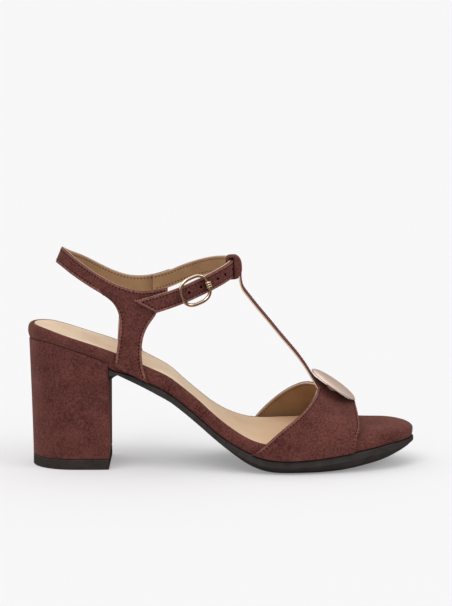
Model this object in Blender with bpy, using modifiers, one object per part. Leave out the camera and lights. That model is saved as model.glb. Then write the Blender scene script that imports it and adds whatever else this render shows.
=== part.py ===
"""Women's block-heel T-strap sandal, the right shoe, as an assembly of its maker's pieces.

The origin is the centre of the heel's underside, on the floor. +X points to the toe, +Y to the
inner (medial) side of the foot and +Z up. Sizes are in millimetres and are turned to metres
when a mesh is made.
"""

import math
from collections import namedtuple

import bmesh
import bpy
from mathutils import Vector

MM = 0.001
GAP = 0.3
POLE = 0.01

# Sole and footbed
SOLE_LENGTH = 229.3
BACK_OVERHANG = 25.6
SEAT_WIDTH = 54.0
WAIST_WIDTH = 45.0
BALL_WIDTH = 82.0
TOE_ROUND = 44.0
BALL_EDGE = 8.3
SEAT_RISE = 68.1
TOE_LIFT = 8.0
OUTSOLE_DEPTH = 7.6
OUTSOLE_WELT = 0.4
SIDEWALL = 3.9
UNDER_EDGE = 9.0
FOOTBED_THICKNESS = 8.6
RIM_ROUND = 3.2
SOCK_THICKNESS = 1.0
SOCK_END = SOLE_LENGTH * 0.766 - BACK_OVERHANG
SOCK_BED_END = SOLE_LENGTH * 0.035
SOCK_GAP = 0.45
FLAP_DROP = 7.0
FLAP_LENGTH = 3.4

# Heel
HEEL_LENGTH = 46.0
HEEL_WIDTH = 49.0
TOP_PIECE = 6.0
HEEL_SET_IN = 0.6
HEEL_EASE = 1.3

# Upper
COLLAR_HEIGHT = 130.0
WALL = 1.6
STRAP_TOP = COLLAR_HEIGHT * 0.823
T_STRAP_WIDTH = 11.0
T_STRAP_CROWN = 0.4
THROAT_WIDTH = 13.6
THROAT_FALL = 0.27

# Ankle ring, quarters and ankle strap
RING_CENTRE = SOLE_LENGTH * 0.3079 - BACK_OVERHANG
RING_HALF_LENGTH = SOLE_LENGTH * 0.2268
RING_HALF_WIDTH = 27.0
COLLAR_BAND = 9.0
BACK_SET_IN = 1.6
BACK_LEAN = 0.42
TAB_TURN = 104.5
STRAP_WIDTH = 10.6
STRAP_WALL = 2.0
LAP = STRAP_WALL + GAP

# Loop round the ankle strap, at its middle over the foot
LOOP_HEIGHT = COLLAR_HEIGHT * 0.8963
LOOP_REACH = RING_CENTRE + RING_HALF_LENGTH - STRAP_WALL * 0.15
LOOP_WALL = 1.1
LOOP_HALF_DEPTH = 3.7
LOOP_HALF_HEIGHT = 7.1
LOOP_WIDER = 0.2
LOOP_SQUARENESS = 5.0
LOOP_TILT = 3.0

# Buckle
BUCKLE_TURN = 237.5
BUCKLE_LENGTH = 20.0
BUCKLE_HEIGHT = 19.0
BUCKLE_BAR = 2.1
BUCKLE_CORNER = 6.5
BUCKLE_LIFT = 2.0
PRONG_RINGS = 3
PRONG_RING = 1.05
PRONG_WIRE = 0.6

# Button
BUTTON_WIDTH = 31.0
BUTTON_DOME = 1.9
BUTTON_RIM = 0.9
BUTTON_EDGE = 0.4
BUTTON_REACH = SOLE_LENGTH * 0.7963 - BACK_OVERHANG
BUTTON_TILT = 35.6
BUTTON_LIFT = 6.6
SHANK_WIDTH = 9.0

# Steps of the meshes
SOLE_STEPS = 44
VAMP_ROWS = 8
ROUND_STEPS = 32
PRONG_STEPS = 20
CORNER_STEPS = 6
DOME_STEPS = 7
SEATING_TRIES = 20

# One row for each station of the sole, from the back of the seat to the toe. along is a share of
# SOLE_LENGTH, rise of SEAT_RISE, lift of TOE_LIFT and depth of OUTSOLE_DEPTH. thick is the footbed's
# thickness on the outer side and tip how much higher it is on the inner side, as shares of
# FOOTBED_THICKNESS. seat, waist and ball are shares of the three widths and swing is how far the
# middle of the sole lies towards the inner side, as a share of BALL_WIDTH.
Station = namedtuple("Station", "along rise lift depth thick tip seat waist ball swing")
SOLE = (
    Station(0.000, 1.000, 0.00, 0.64, 1.05, 0.00, 1.00, 0.00, 0.00, 0.000),
    Station(0.050, 0.993, 0.00, 0.64, 0.88, 0.00, 1.00, 0.00, 0.00, 0.000),
    Station(0.090, 0.963, 0.00, 0.62, 0.79, 0.00, 1.00, 0.00, 0.00, 0.000),
    Station(0.130, 0.919, 0.00, 0.60, 0.79, 0.00, 1.00, 0.00, 0.00, -0.002),
    Station(0.170, 0.871, 0.00, 0.57, 0.82, 0.02, 0.97, 0.03, 0.00, -0.004),
    Station(0.220, 0.799, 0.00, 0.53, 0.90, 0.10, 0.60, 0.44, 0.00, -0.006),
    Station(0.265, 0.722, 0.00, 0.50, 1.00, 0.16, 0.25, 0.80, 0.00, -0.009),
    Station(0.310, 0.640, 0.00, 0.51, 1.08, 0.16, 0.04, 0.98, 0.00, -0.010),
    Station(0.365, 0.543, 0.00, 0.54, 1.16, 0.02, 0.00, 1.00, 0.01, -0.011),
    Station(0.405, 0.443, 0.00, 0.60, 1.18, -0.18, 0.00, 0.93, 0.07, -0.010),
    Station(0.445, 0.334, 0.00, 0.64, 1.20, -0.30, 0.00, 0.80, 0.20, -0.006),
    Station(0.480, 0.237, 0.00, 0.70, 1.15, -0.28, 0.00, 0.62, 0.38, -0.001),
    Station(0.520, 0.143, 0.00, 0.84, 1.08, -0.14, 0.00, 0.42, 0.58, 0.005),
    Station(0.565, 0.066, 0.00, 1.06, 0.97, 0.10, 0.00, 0.20, 0.80, 0.010),
    Station(0.600, 0.021, 0.00, 1.26, 0.98, 0.32, 0.00, 0.08, 0.92, 0.010),
    Station(0.635, 0.003, 0.00, 1.16, 0.99, 0.46, 0.00, 0.00, 0.99, 0.003),
    Station(0.670, 0.000, 0.00, 1.13, 1.02, 0.50, 0.00, 0.00, 1.00, -0.006),
    Station(0.720, 0.000, 0.06, 1.20, 1.08, 0.44, 0.00, 0.00, 0.98, -0.005),
    Station(0.765, 0.000, 0.17, 1.28, 1.12, 0.32, 0.00, 0.00, 0.95, 0.003),
    Station(0.830, 0.000, 0.41, 1.36, 1.16, 0.13, 0.00, 0.00, 0.89, 0.015),
    Station(0.890, 0.000, 0.66, 1.31, 1.19, 0.02, 0.00, 0.00, 0.83, 0.022),
    Station(0.940, 0.000, 0.88, 1.22, 1.12, 0.00, 0.00, 0.00, 0.80, 0.025),
    Station(1.000, 0.000, 1.00, 0.62, 1.05, 0.00, 0.00, 0.00, 0.77, 0.027),
)

# The line that the top of the instep and the T-strap follow. along is a share of SOLE_LENGTH and
# up of STRAP_TOP.
Crown = namedtuple("Crown", "along up")
CROWN = (
    Crown(0.540, 1.065),
    Crown(0.5565, 1.000),
    Crown(0.587, 0.916),
    Crown(0.626, 0.798),
    Crown(0.679, 0.637),
    Crown(0.705, 0.564),
    Crown(0.734, 0.480),
    Crown(0.763, 0.417),
    Crown(0.798, 0.372),
    Crown(0.833, 0.351),
    Crown(0.862, 0.344),
)

# One row for each line that runs from the vamp's rear edge to its front edge. low is a share of the
# rim's height, up of the height from the footbed's top to the crown. outer and inner are shares of
# the half width on the two sides, and the last three columns place the edges as shares of
# SOLE_LENGTH.
Rib = namedtuple("Rib", "low up outer inner rear_outer rear_inner front")
VAMP = (
    Rib(0.0, 0.000, 1.000, 1.000, 0.5780, 0.5700, 0.8410),
    Rib(0.5, 0.000, 1.000, 1.000, 0.5950, 0.5800, 0.8445),
    Rib(1.0, 0.000, 0.998, 1.000, 0.6110, 0.5915, 0.8480),
    Rib(1.0, 0.170, 0.955, 0.970, 0.6545, 0.6305, 0.8520),
    Rib(1.0, 0.345, 0.875, 0.905, 0.6940, 0.6655, 0.8550),
    Rib(1.0, 0.500, 0.765, 0.810, 0.7155, 0.6915, 0.8550),
    Rib(1.0, 0.690, 0.590, 0.640, 0.7330, 0.7170, 0.8530),
    Rib(1.0, 0.850, 0.390, 0.430, 0.7460, 0.7350, 0.8510),
)
THROAT = Crown(0.752, 0.965)
VAMP_FRONT = 0.849
TIP_FADE = 4

# The T-strap above the throat, with the same shares as CROWN.
T_PATH = (
    Crown(0.7445, 0.470),
    Crown(0.7364, 0.502),
    Crown(0.7232, 0.550),
    Crown(0.7080, 0.596),
    Crown(0.6926, 0.639),
    Crown(0.6730, 0.688),
    Crown(0.6534, 0.737),
    Crown(0.6252, 0.813),
    Crown(0.5968, 0.884),
    Crown(0.5752, 0.944),
    Crown(0.5600, 0.983),
    Crown(0.5547, 1.012),
    Crown(0.5528, 1.045),
    Crown(0.5522, 1.080),
)

# The collar's top edge by its turn from the middle of the back, in degrees. outer and inner are
# shares of COLLAR_HEIGHT on the two sides.
Collar = namedtuple("Collar", "turn outer inner")
COLLAR = (
    Collar(0.0, 1.000, 1.000),
    Collar(12.0, 0.998, 0.990),
    Collar(22.0, 0.988, 0.974),
    Collar(32.0, 0.965, 0.959),
    Collar(42.0, 0.938, 0.939),
    Collar(54.0, 0.899, 0.903),
    Collar(66.0, 0.861, 0.866),
    Collar(76.0, 0.836, 0.844),
    Collar(85.0, 0.822, 0.839),
    Collar(94.0, 0.824, 0.847),
    Collar(102.0, 0.836, 0.864),
    Collar(105.0, 0.839, 0.872),
)
BAND_TURNS = (0.0, 8.0, 16.0, 24.0, 32.0, 40.0, 48.0, 56.0, 64.0, 70.0, 76.0, 82.0, 88.0, 93.0, 98.0)
LEG_FIRST = 7

# The two edges of a quarter's leg, from the band down to the hem. down is a share of that drop,
# rear and front are shares of SOLE_LENGTH.
Leg = namedtuple("Leg", "down rear front")
LEG = (
    Leg(0.00, 0.1773, 0.3393),
    Leg(0.07, 0.2000, 0.3390),
    Leg(0.15, 0.2205, 0.3330),
    Leg(0.26, 0.2355, 0.3140),
    Leg(0.40, 0.2426, 0.3015),
    Leg(0.55, 0.2408, 0.2970),
    Leg(0.72, 0.2362, 0.2978),
    Leg(0.87, 0.2316, 0.3045),
    Leg(1.00, 0.2292, 0.3140),
)

# The ankle strap by its turn from the middle of the back, over the inner side to the front and on
# to the tail on the outer side. top is a share of COLLAR_HEIGHT and lap is how far it lies outside
# the ring, as a share of LAP.
Strap = namedtuple("Strap", "turn top lap")
STRAP = (
    Strap(93.0, 0.845, -0.83),
    Strap(104.0, 0.867, -0.83),
    Strap(115.0, 0.897, -0.45),
    Strap(126.0, 0.920, 0.0),
    Strap(138.0, 0.937, 0.0),
    Strap(150.0, 0.945, 0.0),
    Strap(165.0, 0.948, 0.0),
    Strap(180.0, 0.946, 0.0),
    Strap(195.0, 0.937, 0.0),
    Strap(210.0, 0.917, 0.0),
    Strap(222.0, 0.896, 0.2),
    Strap(234.0, 0.871, 0.5),
    Strap(245.0, 0.845, 0.9),
    Strap(256.0, 0.820, 1.0),
    Strap(266.0, 0.799, 1.0),
    Strap(277.0, 0.777, 1.0),
)
STRAP_STEP = 7.0
TAIL_TOP_TURN = 277.0
TAIL_LOW_TURN = 263.0


def clear_scene():
    """Remove every object that the start-up scene holds."""
    for held in list(bpy.data.objects):
        bpy.data.objects.remove(held, do_unlink=True)


def read(rows, column, place, key=0):
    """Read one column of a table at a place in its key column, on a smooth curve."""
    places = [row[key] for row in rows]
    values = [getattr(row, column) for row in rows]
    place = min(max(place, places[0]), places[-1])
    right = next((i for i in range(1, len(rows)) if places[i] >= place), len(rows) - 1)
    left = right - 1
    span = places[right] - places[left]
    share = (place - places[left]) / span

    def slope(i):
        before, after = max(i - 1, 0), min(i + 1, len(rows) - 1)
        return (values[after] - values[before]) / (places[after] - places[before])

    square, cube = share * share, share**3
    return (
        values[left] * (2 * cube - 3 * square + 1)
        + slope(left) * span * (cube - 2 * square + share)
        + values[right] * (3 * square - 2 * cube)
        + slope(right) * span * (cube - square)
    )


def along(share):
    """X of a share of the sole's length, counted from the back of the seat."""
    return share * SOLE_LENGTH - BACK_OVERHANG


def share_at(x):
    return (x + BACK_OVERHANG) / SOLE_LENGTH


def seat(x):
    """Height of the footbed's underside, which is also the top edge of the outsole."""
    share = share_at(x)
    return BALL_EDGE + SEAT_RISE * read(SOLE, "rise", share) + TOE_LIFT * read(SOLE, "lift", share)


def bed(x, y=0.0):
    """Height of the footbed's top, which tips up or down towards the inner side."""
    across = 0.5 + (y - middle(x)) / max(2 * half_width(x), 1.0)
    tip = read(SOLE, "tip", share_at(x)) * min(max(across, 0.0), 1.0)
    return seat(x) + FOOTBED_THICKNESS * (read(SOLE, "thick", share_at(x)) + tip)


def sock_bed(x):
    """How deep the footbed's top is let in for the sock, with a ramp in front of it."""
    ramp = min(max((x - SOCK_END) / SOCK_BED_END, 0.0), 1.0)
    return (SOCK_THICKNESS + SOCK_GAP) * (1 - ramp * ramp * (3 - 2 * ramp))


def belly(x):
    """Height of the outsole's underside, flat on the floor under the ball."""
    depth = OUTSOLE_DEPTH * read(SOLE, "depth", share_at(x))
    flap = max(0.0, 1.0 - (x - breast() - GAP) / FLAP_LENGTH)
    return max(0.0, seat(x) - depth - FLAP_DROP * math.sqrt(flap))


def breast():
    """X of the heel's flat front."""
    return HEEL_LENGTH / 2


def middle(x):
    """Y of the sole's middle line."""
    return BALL_WIDTH * read(SOLE, "swing", share_at(x))


def half_width(x):
    """Half the footbed's width, with its round heel and toe."""
    share = share_at(x)
    width = (
        SEAT_WIDTH * read(SOLE, "seat", share)
        + WAIST_WIDTH * read(SOLE, "waist", share)
        + BALL_WIDTH * read(SOLE, "ball", share)
    )
    from_back = min(1.0, max(0.0, share * SOLE_LENGTH / (SEAT_WIDTH / 2)))
    from_toe = min(1.0, max(0.0, (1.0 - share) * SOLE_LENGTH / TOE_ROUND))
    return width / 2 * math.sqrt(from_back * (2 - from_back)) * math.sqrt(from_toe * (2 - from_toe))


def contour(inset, first=None, last=None, steps=SOLE_STEPS):
    """Both sides of the sole's outline, moved inwards, as lists of (x, y) from back to toe.

    An end that is given is cut straight across, and one that is left out is round.
    """
    start = along(0.0) if first is None else first
    end = along(1.0) if last is None else last
    back_middle = along(0.0) + SEAT_WIDTH / 2
    toe_middle = along(1.0) - TOE_ROUND
    outer, inner = [], []
    for i in range(steps + 1):
        share = i / steps
        if first is None and last is None:
            share = (1 - math.cos(math.pi * share)) / 2
        elif first is None:
            share = 1 - math.cos(math.pi * share / 2)
        elif last is None:
            share = math.sin(math.pi * share / 2)
        x = start + (end - start) * share
        hub_x = min(max(x, back_middle if first is None else start), toe_middle if last is None else end)
        hub = Vector((hub_x, middle(hub_x)))
        for side, points in ((-1, outer), (1, inner)):
            edge = Vector((x, middle(x) + side * half_width(x)))
            ray = edge - hub
            points.append(hub + ray * max(0.0, 1 - inset / max(ray.length, 0.001)))
    return outer, inner


def ring_of(sides, height):
    """One closed loop of 3-D points from both sides of an outline and a height function."""
    outer, inner = sides
    return [Vector((p.x, p.y, height(p.x, p.y))) for p in outer + inner[::-1]]


def collection(name):
    made = bpy.data.collections.new(name)
    bpy.context.scene.collection.children.link(made)
    return made


def material(name, colour, roughness, metallic=0.0):
    """A Principled material in the piece's colour."""
    made = bpy.data.materials.new(name)
    made.use_nodes = True
    shader = made.node_tree.nodes["Principled BSDF"]
    shader.inputs["Base Color"].default_value = (*colour, 1.0)
    shader.inputs["Roughness"].default_value = roughness
    shader.inputs["Metallic"].default_value = metallic
    return made


def piece(name, shape, finish, group, smooth=40):
    """Turn a bmesh in millimetres into a named object in metres."""
    bmesh.ops.scale(shape, vec=(MM, MM, MM), verts=shape.verts)
    bmesh.ops.remove_doubles(shape, verts=shape.verts, dist=0.02 * MM)
    bmesh.ops.recalc_face_normals(shape, faces=shape.faces)
    mesh = bpy.data.meshes.new(name)
    shape.to_mesh(mesh)
    shape.free()
    mesh.materials.append(finish)
    mesh.shade_smooth()
    mesh.set_sharp_from_angle(angle=math.radians(smooth))
    made = bpy.data.objects.new(name, mesh)
    group.objects.link(made)
    return made


def loft(shape, rings, closed=True):
    """Join rings of the same count with faces, and return their vertices."""
    rows = [[shape.verts.new(point) for point in ring] for ring in rings]
    count = len(rows[0])
    for low, high in zip(rows, rows[1:]):
        for i in range(count if closed else count - 1):
            j = (i + 1) % count
            shape.faces.new((low[i], low[j], high[j], high[i]))
    return rows


def strip_cap(shape, row):
    """Close a loop that runs up one side and back down the other, with faces straight across."""
    half = len(row) // 2
    back = row[half:][::-1]
    for i in range(half - 1):
        shape.faces.new((row[i], row[i + 1], back[i + 1], back[i]))


def slab(rings):
    """A closed solid from a bottom ring, over the edge, to a top ring."""
    shape = bmesh.new()
    rows = loft(shape, rings)
    strip_cap(shape, rows[0])
    strip_cap(shape, rows[-1])
    return shape


def make_footbed(finish, group):
    """The suede-wrapped footbed, with a round rim."""

    def level(share, let_in=0.0):
        return lambda x, y: seat(x) + (bed(x, y) - seat(x)) * share - let_in * sock_bed(x)

    profile = (
        (RIM_ROUND * 2.0, level(0.0)),
        (RIM_ROUND * 0.5, level(0.0)),
        (RIM_ROUND * 0.12, level(0.18)),
        (0.0, level(0.48)),
        (RIM_ROUND * 0.14, level(0.72)),
        (RIM_ROUND * 0.45, level(0.92)),
        (RIM_ROUND, level(1.0)),
        (RIM_ROUND + GAP, level(1.0, 1.0)),
        (RIM_ROUND * 3.5, level(1.0, 1.0)),
    )
    return piece("footbed", slab([ring_of(contour(i), h) for i, h in profile]), finish, group)


def make_sock(finish, group):
    """The sock, let into the footbed inside its rim, which ends under the vamp."""
    inset, edge = RIM_ROUND + GAP * 2, SOCK_THICKNESS * 0.35
    profile = (
        (inset * 2, -SOCK_THICKNESS),
        (inset, -SOCK_THICKNESS),
        (inset, -edge),
        (inset + edge, 0.0),
        (inset * 3, 0.0),
    )
    rings = []
    for distance, lift in profile:
        sides = contour(distance, last=SOCK_END - GAP)
        rings.append(ring_of(sides, lambda x, y, lift=lift: bed(x, y) + lift))
    return piece("insole_sock", slab(rings), finish, group)


def make_outsole(finish, group):
    """The outsole, from the heel's breast to the toe, with its rounded lower edge."""

    def low(share):
        def height(x, y):
            wall_foot = max(belly(x), seat(x) - GAP - SIDEWALL)
            return belly(x) + (wall_foot - belly(x)) * share

        return height

    def top(x, y):
        return seat(x) - GAP

    start = breast() + GAP
    profile = (
        (UNDER_EDGE * 1.6, low(0.0)),
        (UNDER_EDGE, low(0.0)),
        (UNDER_EDGE * 0.5, low(0.18)),
        (UNDER_EDGE * 0.18, low(0.55)),
        (-OUTSOLE_WELT, low(1.0)),
        (-OUTSOLE_WELT, top),
        (UNDER_EDGE, top),
    )
    return piece("outsole", slab([ring_of(contour(i, first=start), h) for i, h in profile]), finish, group)


def heel_ring(height_share, flat_height=None):
    """One level of the heel: the seat's outline, drawn in towards the floor."""
    sides = contour(HEEL_SET_IN, last=breast())
    top_back, top_half = BACK_OVERHANG - HEEL_SET_IN, SEAT_WIDTH / 2 - HEEL_SET_IN
    low_back, low_half = HEEL_LENGTH / 2, HEEL_WIDTH / 2
    ease = height_share**HEEL_EASE
    ring = []
    for point in sides[0] + sides[1][::-1]:
        back = (low_back + (top_back - low_back) * ease) / top_back
        x = point.x * back if point.x < 0 else point.x
        y = point.y * (low_half + (top_half - low_half) * ease) / top_half
        z = flat_height
        if flat_height is None:
            top = seat(point.x) - GAP
            z = TOP_PIECE + GAP + (top - TOP_PIECE - GAP) * height_share
        ring.append(Vector((x, y, z)))
    return ring


def make_heel(finish, group):
    """The covered block heel, under the seat."""
    rings = [heel_ring(share) for share in (0.0, 0.25, 0.5, 0.75, 0.92, 1.0)]
    return piece("heel", slab(rings), finish, group)


def make_top_piece(finish, group):
    """The rubber top piece, whose underside is the heel's flat rest."""
    return piece("heel_top_piece", slab([heel_ring(0.0, 0.0), heel_ring(0.0, TOP_PIECE)]), finish, group)


def crown(x):
    return STRAP_TOP * read(CROWN, "up", share_at(x))


def hem(x):
    """Where the upper's edge ends, just above the outsole."""
    return seat(x) + GAP


def vamp_point(rib, side, x):
    """A point of the vamp's outer face, from its share of height and of half width."""
    out = rib.outer if side < 0 else rib.inner
    y = middle(x) + side * out * (half_width(x) + GAP + WALL)
    height = hem(x) + (bed(x, middle(x) - half_width(x)) - hem(x)) * rib.low
    tip = (bed(x, y) - bed(x, middle(x) - half_width(x))) * rib.low * (1 - rib.up) ** TIP_FADE
    return Vector((x, y, height + (crown(x) - height) * rib.up + tip))


def vamp_column(rib, side):
    rear = along(rib.rear_outer if side < 0 else rib.rear_inner)
    front = along(rib.front)
    return [vamp_point(rib, side, rear + (front - rear) * row / VAMP_ROWS) for row in range(VAMP_ROWS + 1)]


def throat_column(across):
    """A column of the vamp at the throat, going on up the T-strap to its loop."""
    rear, front = along(THROAT.along), along(VAMP_FRONT)
    wide = abs(across)
    column = []
    for row in range(VAMP_ROWS + 1):
        x = rear + (front - rear) * row / VAMP_ROWS
        fall = (1 - THROAT.up) * wide * (crown(x) - bed(x))
        column.append(Vector((x, across * THROAT_WIDTH / 2, crown(x) - fall)))
    strap = []
    for i, step in enumerate(T_PATH):
        ease = THROAT_FALL ** (i + 1)
        width = T_STRAP_WIDTH + (THROAT_WIDTH - T_STRAP_WIDTH) * ease
        point = Vector((along(step.along), across * width / 2, STRAP_TOP * step.up - T_STRAP_CROWN * wide))
        strap.append(point)
    return column, strap


def make_vamp(finish, group, cutters):
    """The forefoot band with its T-strap and loop, one joined piece."""
    shape = bmesh.new()
    sides = [vamp_column(rib, -1) for rib in VAMP]
    centre = [throat_column(across) for across in (-1.0, -0.5, 0.0, 0.5, 1.0)]
    columns = sides + [column for column, _ in centre] + [vamp_column(rib, 1) for rib in VAMP[::-1]]
    grid = [[shape.verts.new(point) for point in column] for column in columns]
    for left, right in zip(grid, grid[1:]):
        for row in range(VAMP_ROWS):
            shape.faces.new((left[row], left[row + 1], right[row + 1], right[row]))
    first = len(sides)
    straps = []
    for offset, (_, strap) in enumerate(centre):
        straps.append([grid[first + offset][0]] + [shape.verts.new(point) for point in strap])
    for left, right in zip(straps, straps[1:]):
        for row in range(len(left) - 1):
            shape.faces.new((left[row + 1], left[row], right[row], right[row + 1]))
    made = piece("vamp", shape, finish, group)
    wall_of(made, WALL)
    loop = make_loop(finish, cutters)
    joined = made.modifiers.new("Loop", "BOOLEAN")
    joined.operation = "UNION"
    joined.object = loop
    return made


def wall_of(made, thickness):
    """Give an open sheet its wall, inwards from its outer face."""
    solid = made.modifiers.new("Wall", "SOLIDIFY")
    solid.thickness = thickness * MM
    solid.offset = -1.0
    solid.use_even_offset = True


def oval(reach, turn):
    """A point of a squared oval."""
    power = 2.0 / LOOP_SQUARENESS
    cos, sin = math.cos(turn), math.sin(turn)
    return Vector(
        (
            reach[0] * math.copysign(abs(cos) ** power, cos),
            0.0,
            reach[1] * math.copysign(abs(sin) ** power, sin),
        )
    )


def make_loop(finish, group):
    """The folded loop at the T-strap's end, as a short squared tube across the foot."""
    shape = bmesh.new()
    half = T_STRAP_WIDTH / 2 + LOOP_WIDER
    hole = (LOOP_HALF_DEPTH, LOOP_HALF_HEIGHT)
    skin = (LOOP_HALF_DEPTH + LOOP_WALL, LOOP_HALF_HEIGHT + LOOP_WALL)
    rings = []
    for reach, y in ((skin, -half), (skin, half), (hole, half), (hole, -half)):
        points = [oval(reach, 2 * math.pi * i / ROUND_STEPS) for i in range(ROUND_STEPS)]
        rings.append([point + Vector((0.0, y, 0.0)) for point in points])
    loft(shape, rings + [rings[0]])
    tilt = math.radians(-LOOP_TILT)
    for vert in shape.verts:
        x, z = vert.co.x, vert.co.z
        vert.co.x = LOOP_REACH + x * math.cos(tilt) + z * math.sin(tilt)
        vert.co.z = LOOP_HEIGHT - x * math.sin(tilt) + z * math.cos(tilt)
    made = piece("loop_form", shape, finish, group)
    made.hide_render = True
    made.display_type = "WIRE"
    return made


def ring_point(turn, out=0.0):
    """A point of the ankle ring in plan, and its outward direction, at a turn from the back."""
    angle = math.radians(turn)
    place = Vector((RING_CENTRE - RING_HALF_LENGTH * math.cos(angle), RING_HALF_WIDTH * math.sin(angle)))
    outward = Vector((-RING_HALF_WIDTH * math.cos(angle), RING_HALF_LENGTH * math.sin(angle))).normalized()
    return place + outward * out, outward


def band_point(turn, down, side):
    """A point of the back strap's outer face, down being its share of the band's height."""
    column = "outer" if side < 0 else "inner"
    top = COLLAR_HEIGHT * read(COLLAR, column, turn)
    place, _ = ring_point(side * turn)
    back = max(0.0, math.cos(math.radians(turn)))
    x = place.x + (BACK_SET_IN - BACK_LEAN * COLLAR_BAND * down) * back
    return Vector((x, place.y, top - COLLAR_BAND * down))


def leg_point(turn, share, down, side):
    """A point of a quarter's leg, from the band to the hem."""
    top = band_point(turn, 1.0, side)
    foot_x = along(LEG[-1].rear + (LEG[-1].front - LEG[-1].rear) * share)
    rear, front = read(LEG, "rear", down), read(LEG, "front", down)
    x = along(rear + (front - rear) * share)
    foot_y = middle(x) + side * (half_width(x) + GAP + WALL)
    ease = down * down * (3 - 2 * down)
    y = top.y + (foot_y - top.y) * ease
    return Vector((x, y, top.z + (hem(foot_x) - top.z) * down))


def make_quarters(finish, group):
    """Both quarters, the back strap and their front tabs, one joined piece."""
    shape = bmesh.new()
    turns = [(turn, -1) for turn in (TAB_TURN,) + BAND_TURNS[:0:-1]] + [(0.0, 1)]
    turns += [(turn, 1) for turn in BAND_TURNS[1:] + (TAB_TURN,)]
    grid = []
    for turn, side in turns:
        grid.append([shape.verts.new(band_point(turn, down, side)) for down in (0.0, 0.5, 1.0)])
    for left, right in zip(grid, grid[1:]):
        for row in range(2):
            shape.faces.new((left[row], left[row + 1], right[row + 1], right[row]))
    leg_turns = BAND_TURNS[LEG_FIRST:]
    for side in (-1, 1):
        legs = []
        for i, turn in enumerate(leg_turns):
            share = i / (len(leg_turns) - 1)
            band_low = grid[turns.index((turn, side))][2]
            column = [shape.verts.new(leg_point(turn, share, row.down, side)) for row in LEG[1:]]
            legs.append([band_low] + column)
        for left, right in zip(legs, legs[1:]):
            for row in range(len(left) - 1):
                shape.faces.new((left[row], left[row + 1], right[row + 1], right[row]))
    made = piece("quarters", shape, finish, group)
    wall_of(made, WALL)
    return made


def strap_face(turn, down, out=0.0):
    """A point of the ankle strap's outer face, and its outward direction."""
    lap = LAP * read(STRAP, "lap", turn)
    place, outward = ring_point(turn, lap + out)
    z = COLLAR_HEIGHT * read(STRAP, "top", turn) - STRAP_WIDTH * down
    return Vector((place.x, place.y, z)), outward


def make_ankle_strap(finish, group):
    """The ankle strap, from under the inner quarter's tab to the slanted tail."""
    shape = bmesh.new()
    first = STRAP[0].turn
    count = round((TAIL_TOP_TURN - first) / STRAP_STEP)
    rows = []
    for down in (0.0, 0.5, 1.0):
        last = TAIL_TOP_TURN + (TAIL_LOW_TURN - TAIL_TOP_TURN) * down
        turns = [first + (last - first) * i / count for i in range(count + 1)]
        rows.append([strap_face(turn, down)[0] for turn in turns])
    loft(shape, rows, closed=False)
    made = piece("ankle_strap", shape, finish, group)
    wall_of(made, STRAP_WALL)
    return made


def buckle_place():
    """The buckle's centre and its axes: along the strap, up across it, and outwards."""
    centre, outward = strap_face(BUCKLE_TURN, 0.5)
    before, _ = strap_face(BUCKLE_TURN - 8, 0.5)
    after, _ = strap_face(BUCKLE_TURN + 8, 0.5)
    run = (before - after).normalized()
    out = Vector((outward.x, outward.y, 0.0))
    up = run.cross(out).normalized() * (1 if run.cross(out).z > 0 else -1)
    out = up.cross(run).normalized()
    if out.dot(Vector((outward.x, outward.y, 0.0))) < 0:
        out = -out
    return centre + out * BUCKLE_LIFT, run, up, out


def make_buckle(finish, group):
    """The round-cornered frame over the strap."""
    centre, run, up, out = buckle_place()
    length = BUCKLE_LENGTH / 2 - BUCKLE_BAR / 2
    height = BUCKLE_HEIGHT / 2 - BUCKLE_BAR / 2
    path = []
    for quarter in range(4):
        corner_x = (length - BUCKLE_CORNER) * (1 if quarter in (0, 3) else -1)
        corner_y = (height - BUCKLE_CORNER) * (1 if quarter in (0, 1) else -1)
        for step in range(CORNER_STEPS + 1):
            angle = math.pi / 2 * (quarter + step / CORNER_STEPS)
            u = corner_x + BUCKLE_CORNER * math.cos(angle)
            v = corner_y + BUCKLE_CORNER * math.sin(angle)
            path.append(centre + run * u + up * v)
    curve = bpy.data.curves.new("buckle_frame", "CURVE")
    curve.dimensions = "3D"
    curve.bevel_depth = BUCKLE_BAR / 2 * MM
    curve.bevel_resolution = 2
    spline = curve.splines.new("POLY")
    spline.points.add(len(path) - 1)
    for target, point in zip(spline.points, path):
        target.co = (*(point * MM), 1.0)
    spline.use_cyclic_u = True
    curve.materials.append(finish)
    made = bpy.data.objects.new("buckle_frame", curve)
    group.objects.link(made)
    return made


def make_prong(finish, group):
    """The prong's eye, three rings side by side round the toe-side bar."""
    centre, run, up, out = buckle_place()
    middle_of_bar = centre + run * (BUCKLE_LENGTH / 2 - BUCKLE_BAR / 2)
    bore = BUCKLE_BAR / 2 + GAP
    half = PRONG_RINGS * PRONG_RING / 2
    dip = bore + PRONG_WIRE * 0.4
    outline = [(bore, -half), (dip, -half)]
    for ring in range(PRONG_RINGS):
        start = -half + ring * PRONG_RING
        outline += [(bore + PRONG_WIRE, start + PRONG_RING * share) for share in (0.3, 0.7)]
        outline += [(dip, start + PRONG_RING)]
    outline += [(bore, half)]
    shape = bmesh.new()
    rings = []
    for radius, place in outline:
        ring = []
        for i in range(PRONG_STEPS):
            angle = 2 * math.pi * i / PRONG_STEPS
            ring.append(middle_of_bar + up * place + (run * math.cos(angle) + out * math.sin(angle)) * radius)
        rings.append(ring)
    loft(shape, rings + [rings[0]])
    return piece("buckle_prong", shape, finish, group)


def shank_drop(place, axis):
    """How far the button's shank reaches down its axis before it meets the vamp."""
    across = Vector((axis.z, 0.0, -axis.x)) * SHANK_WIDTH / 2
    drop = BUTTON_LIFT
    for _ in range(SEATING_TRIES):
        feet = [place + across * share - axis * drop for share in (-1.0, -0.5, 0.0, 0.5, 1.0)]
        drop += min(foot.z - crown(foot.x) - GAP / axis.z for foot in feet) * axis.z
    return drop


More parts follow.
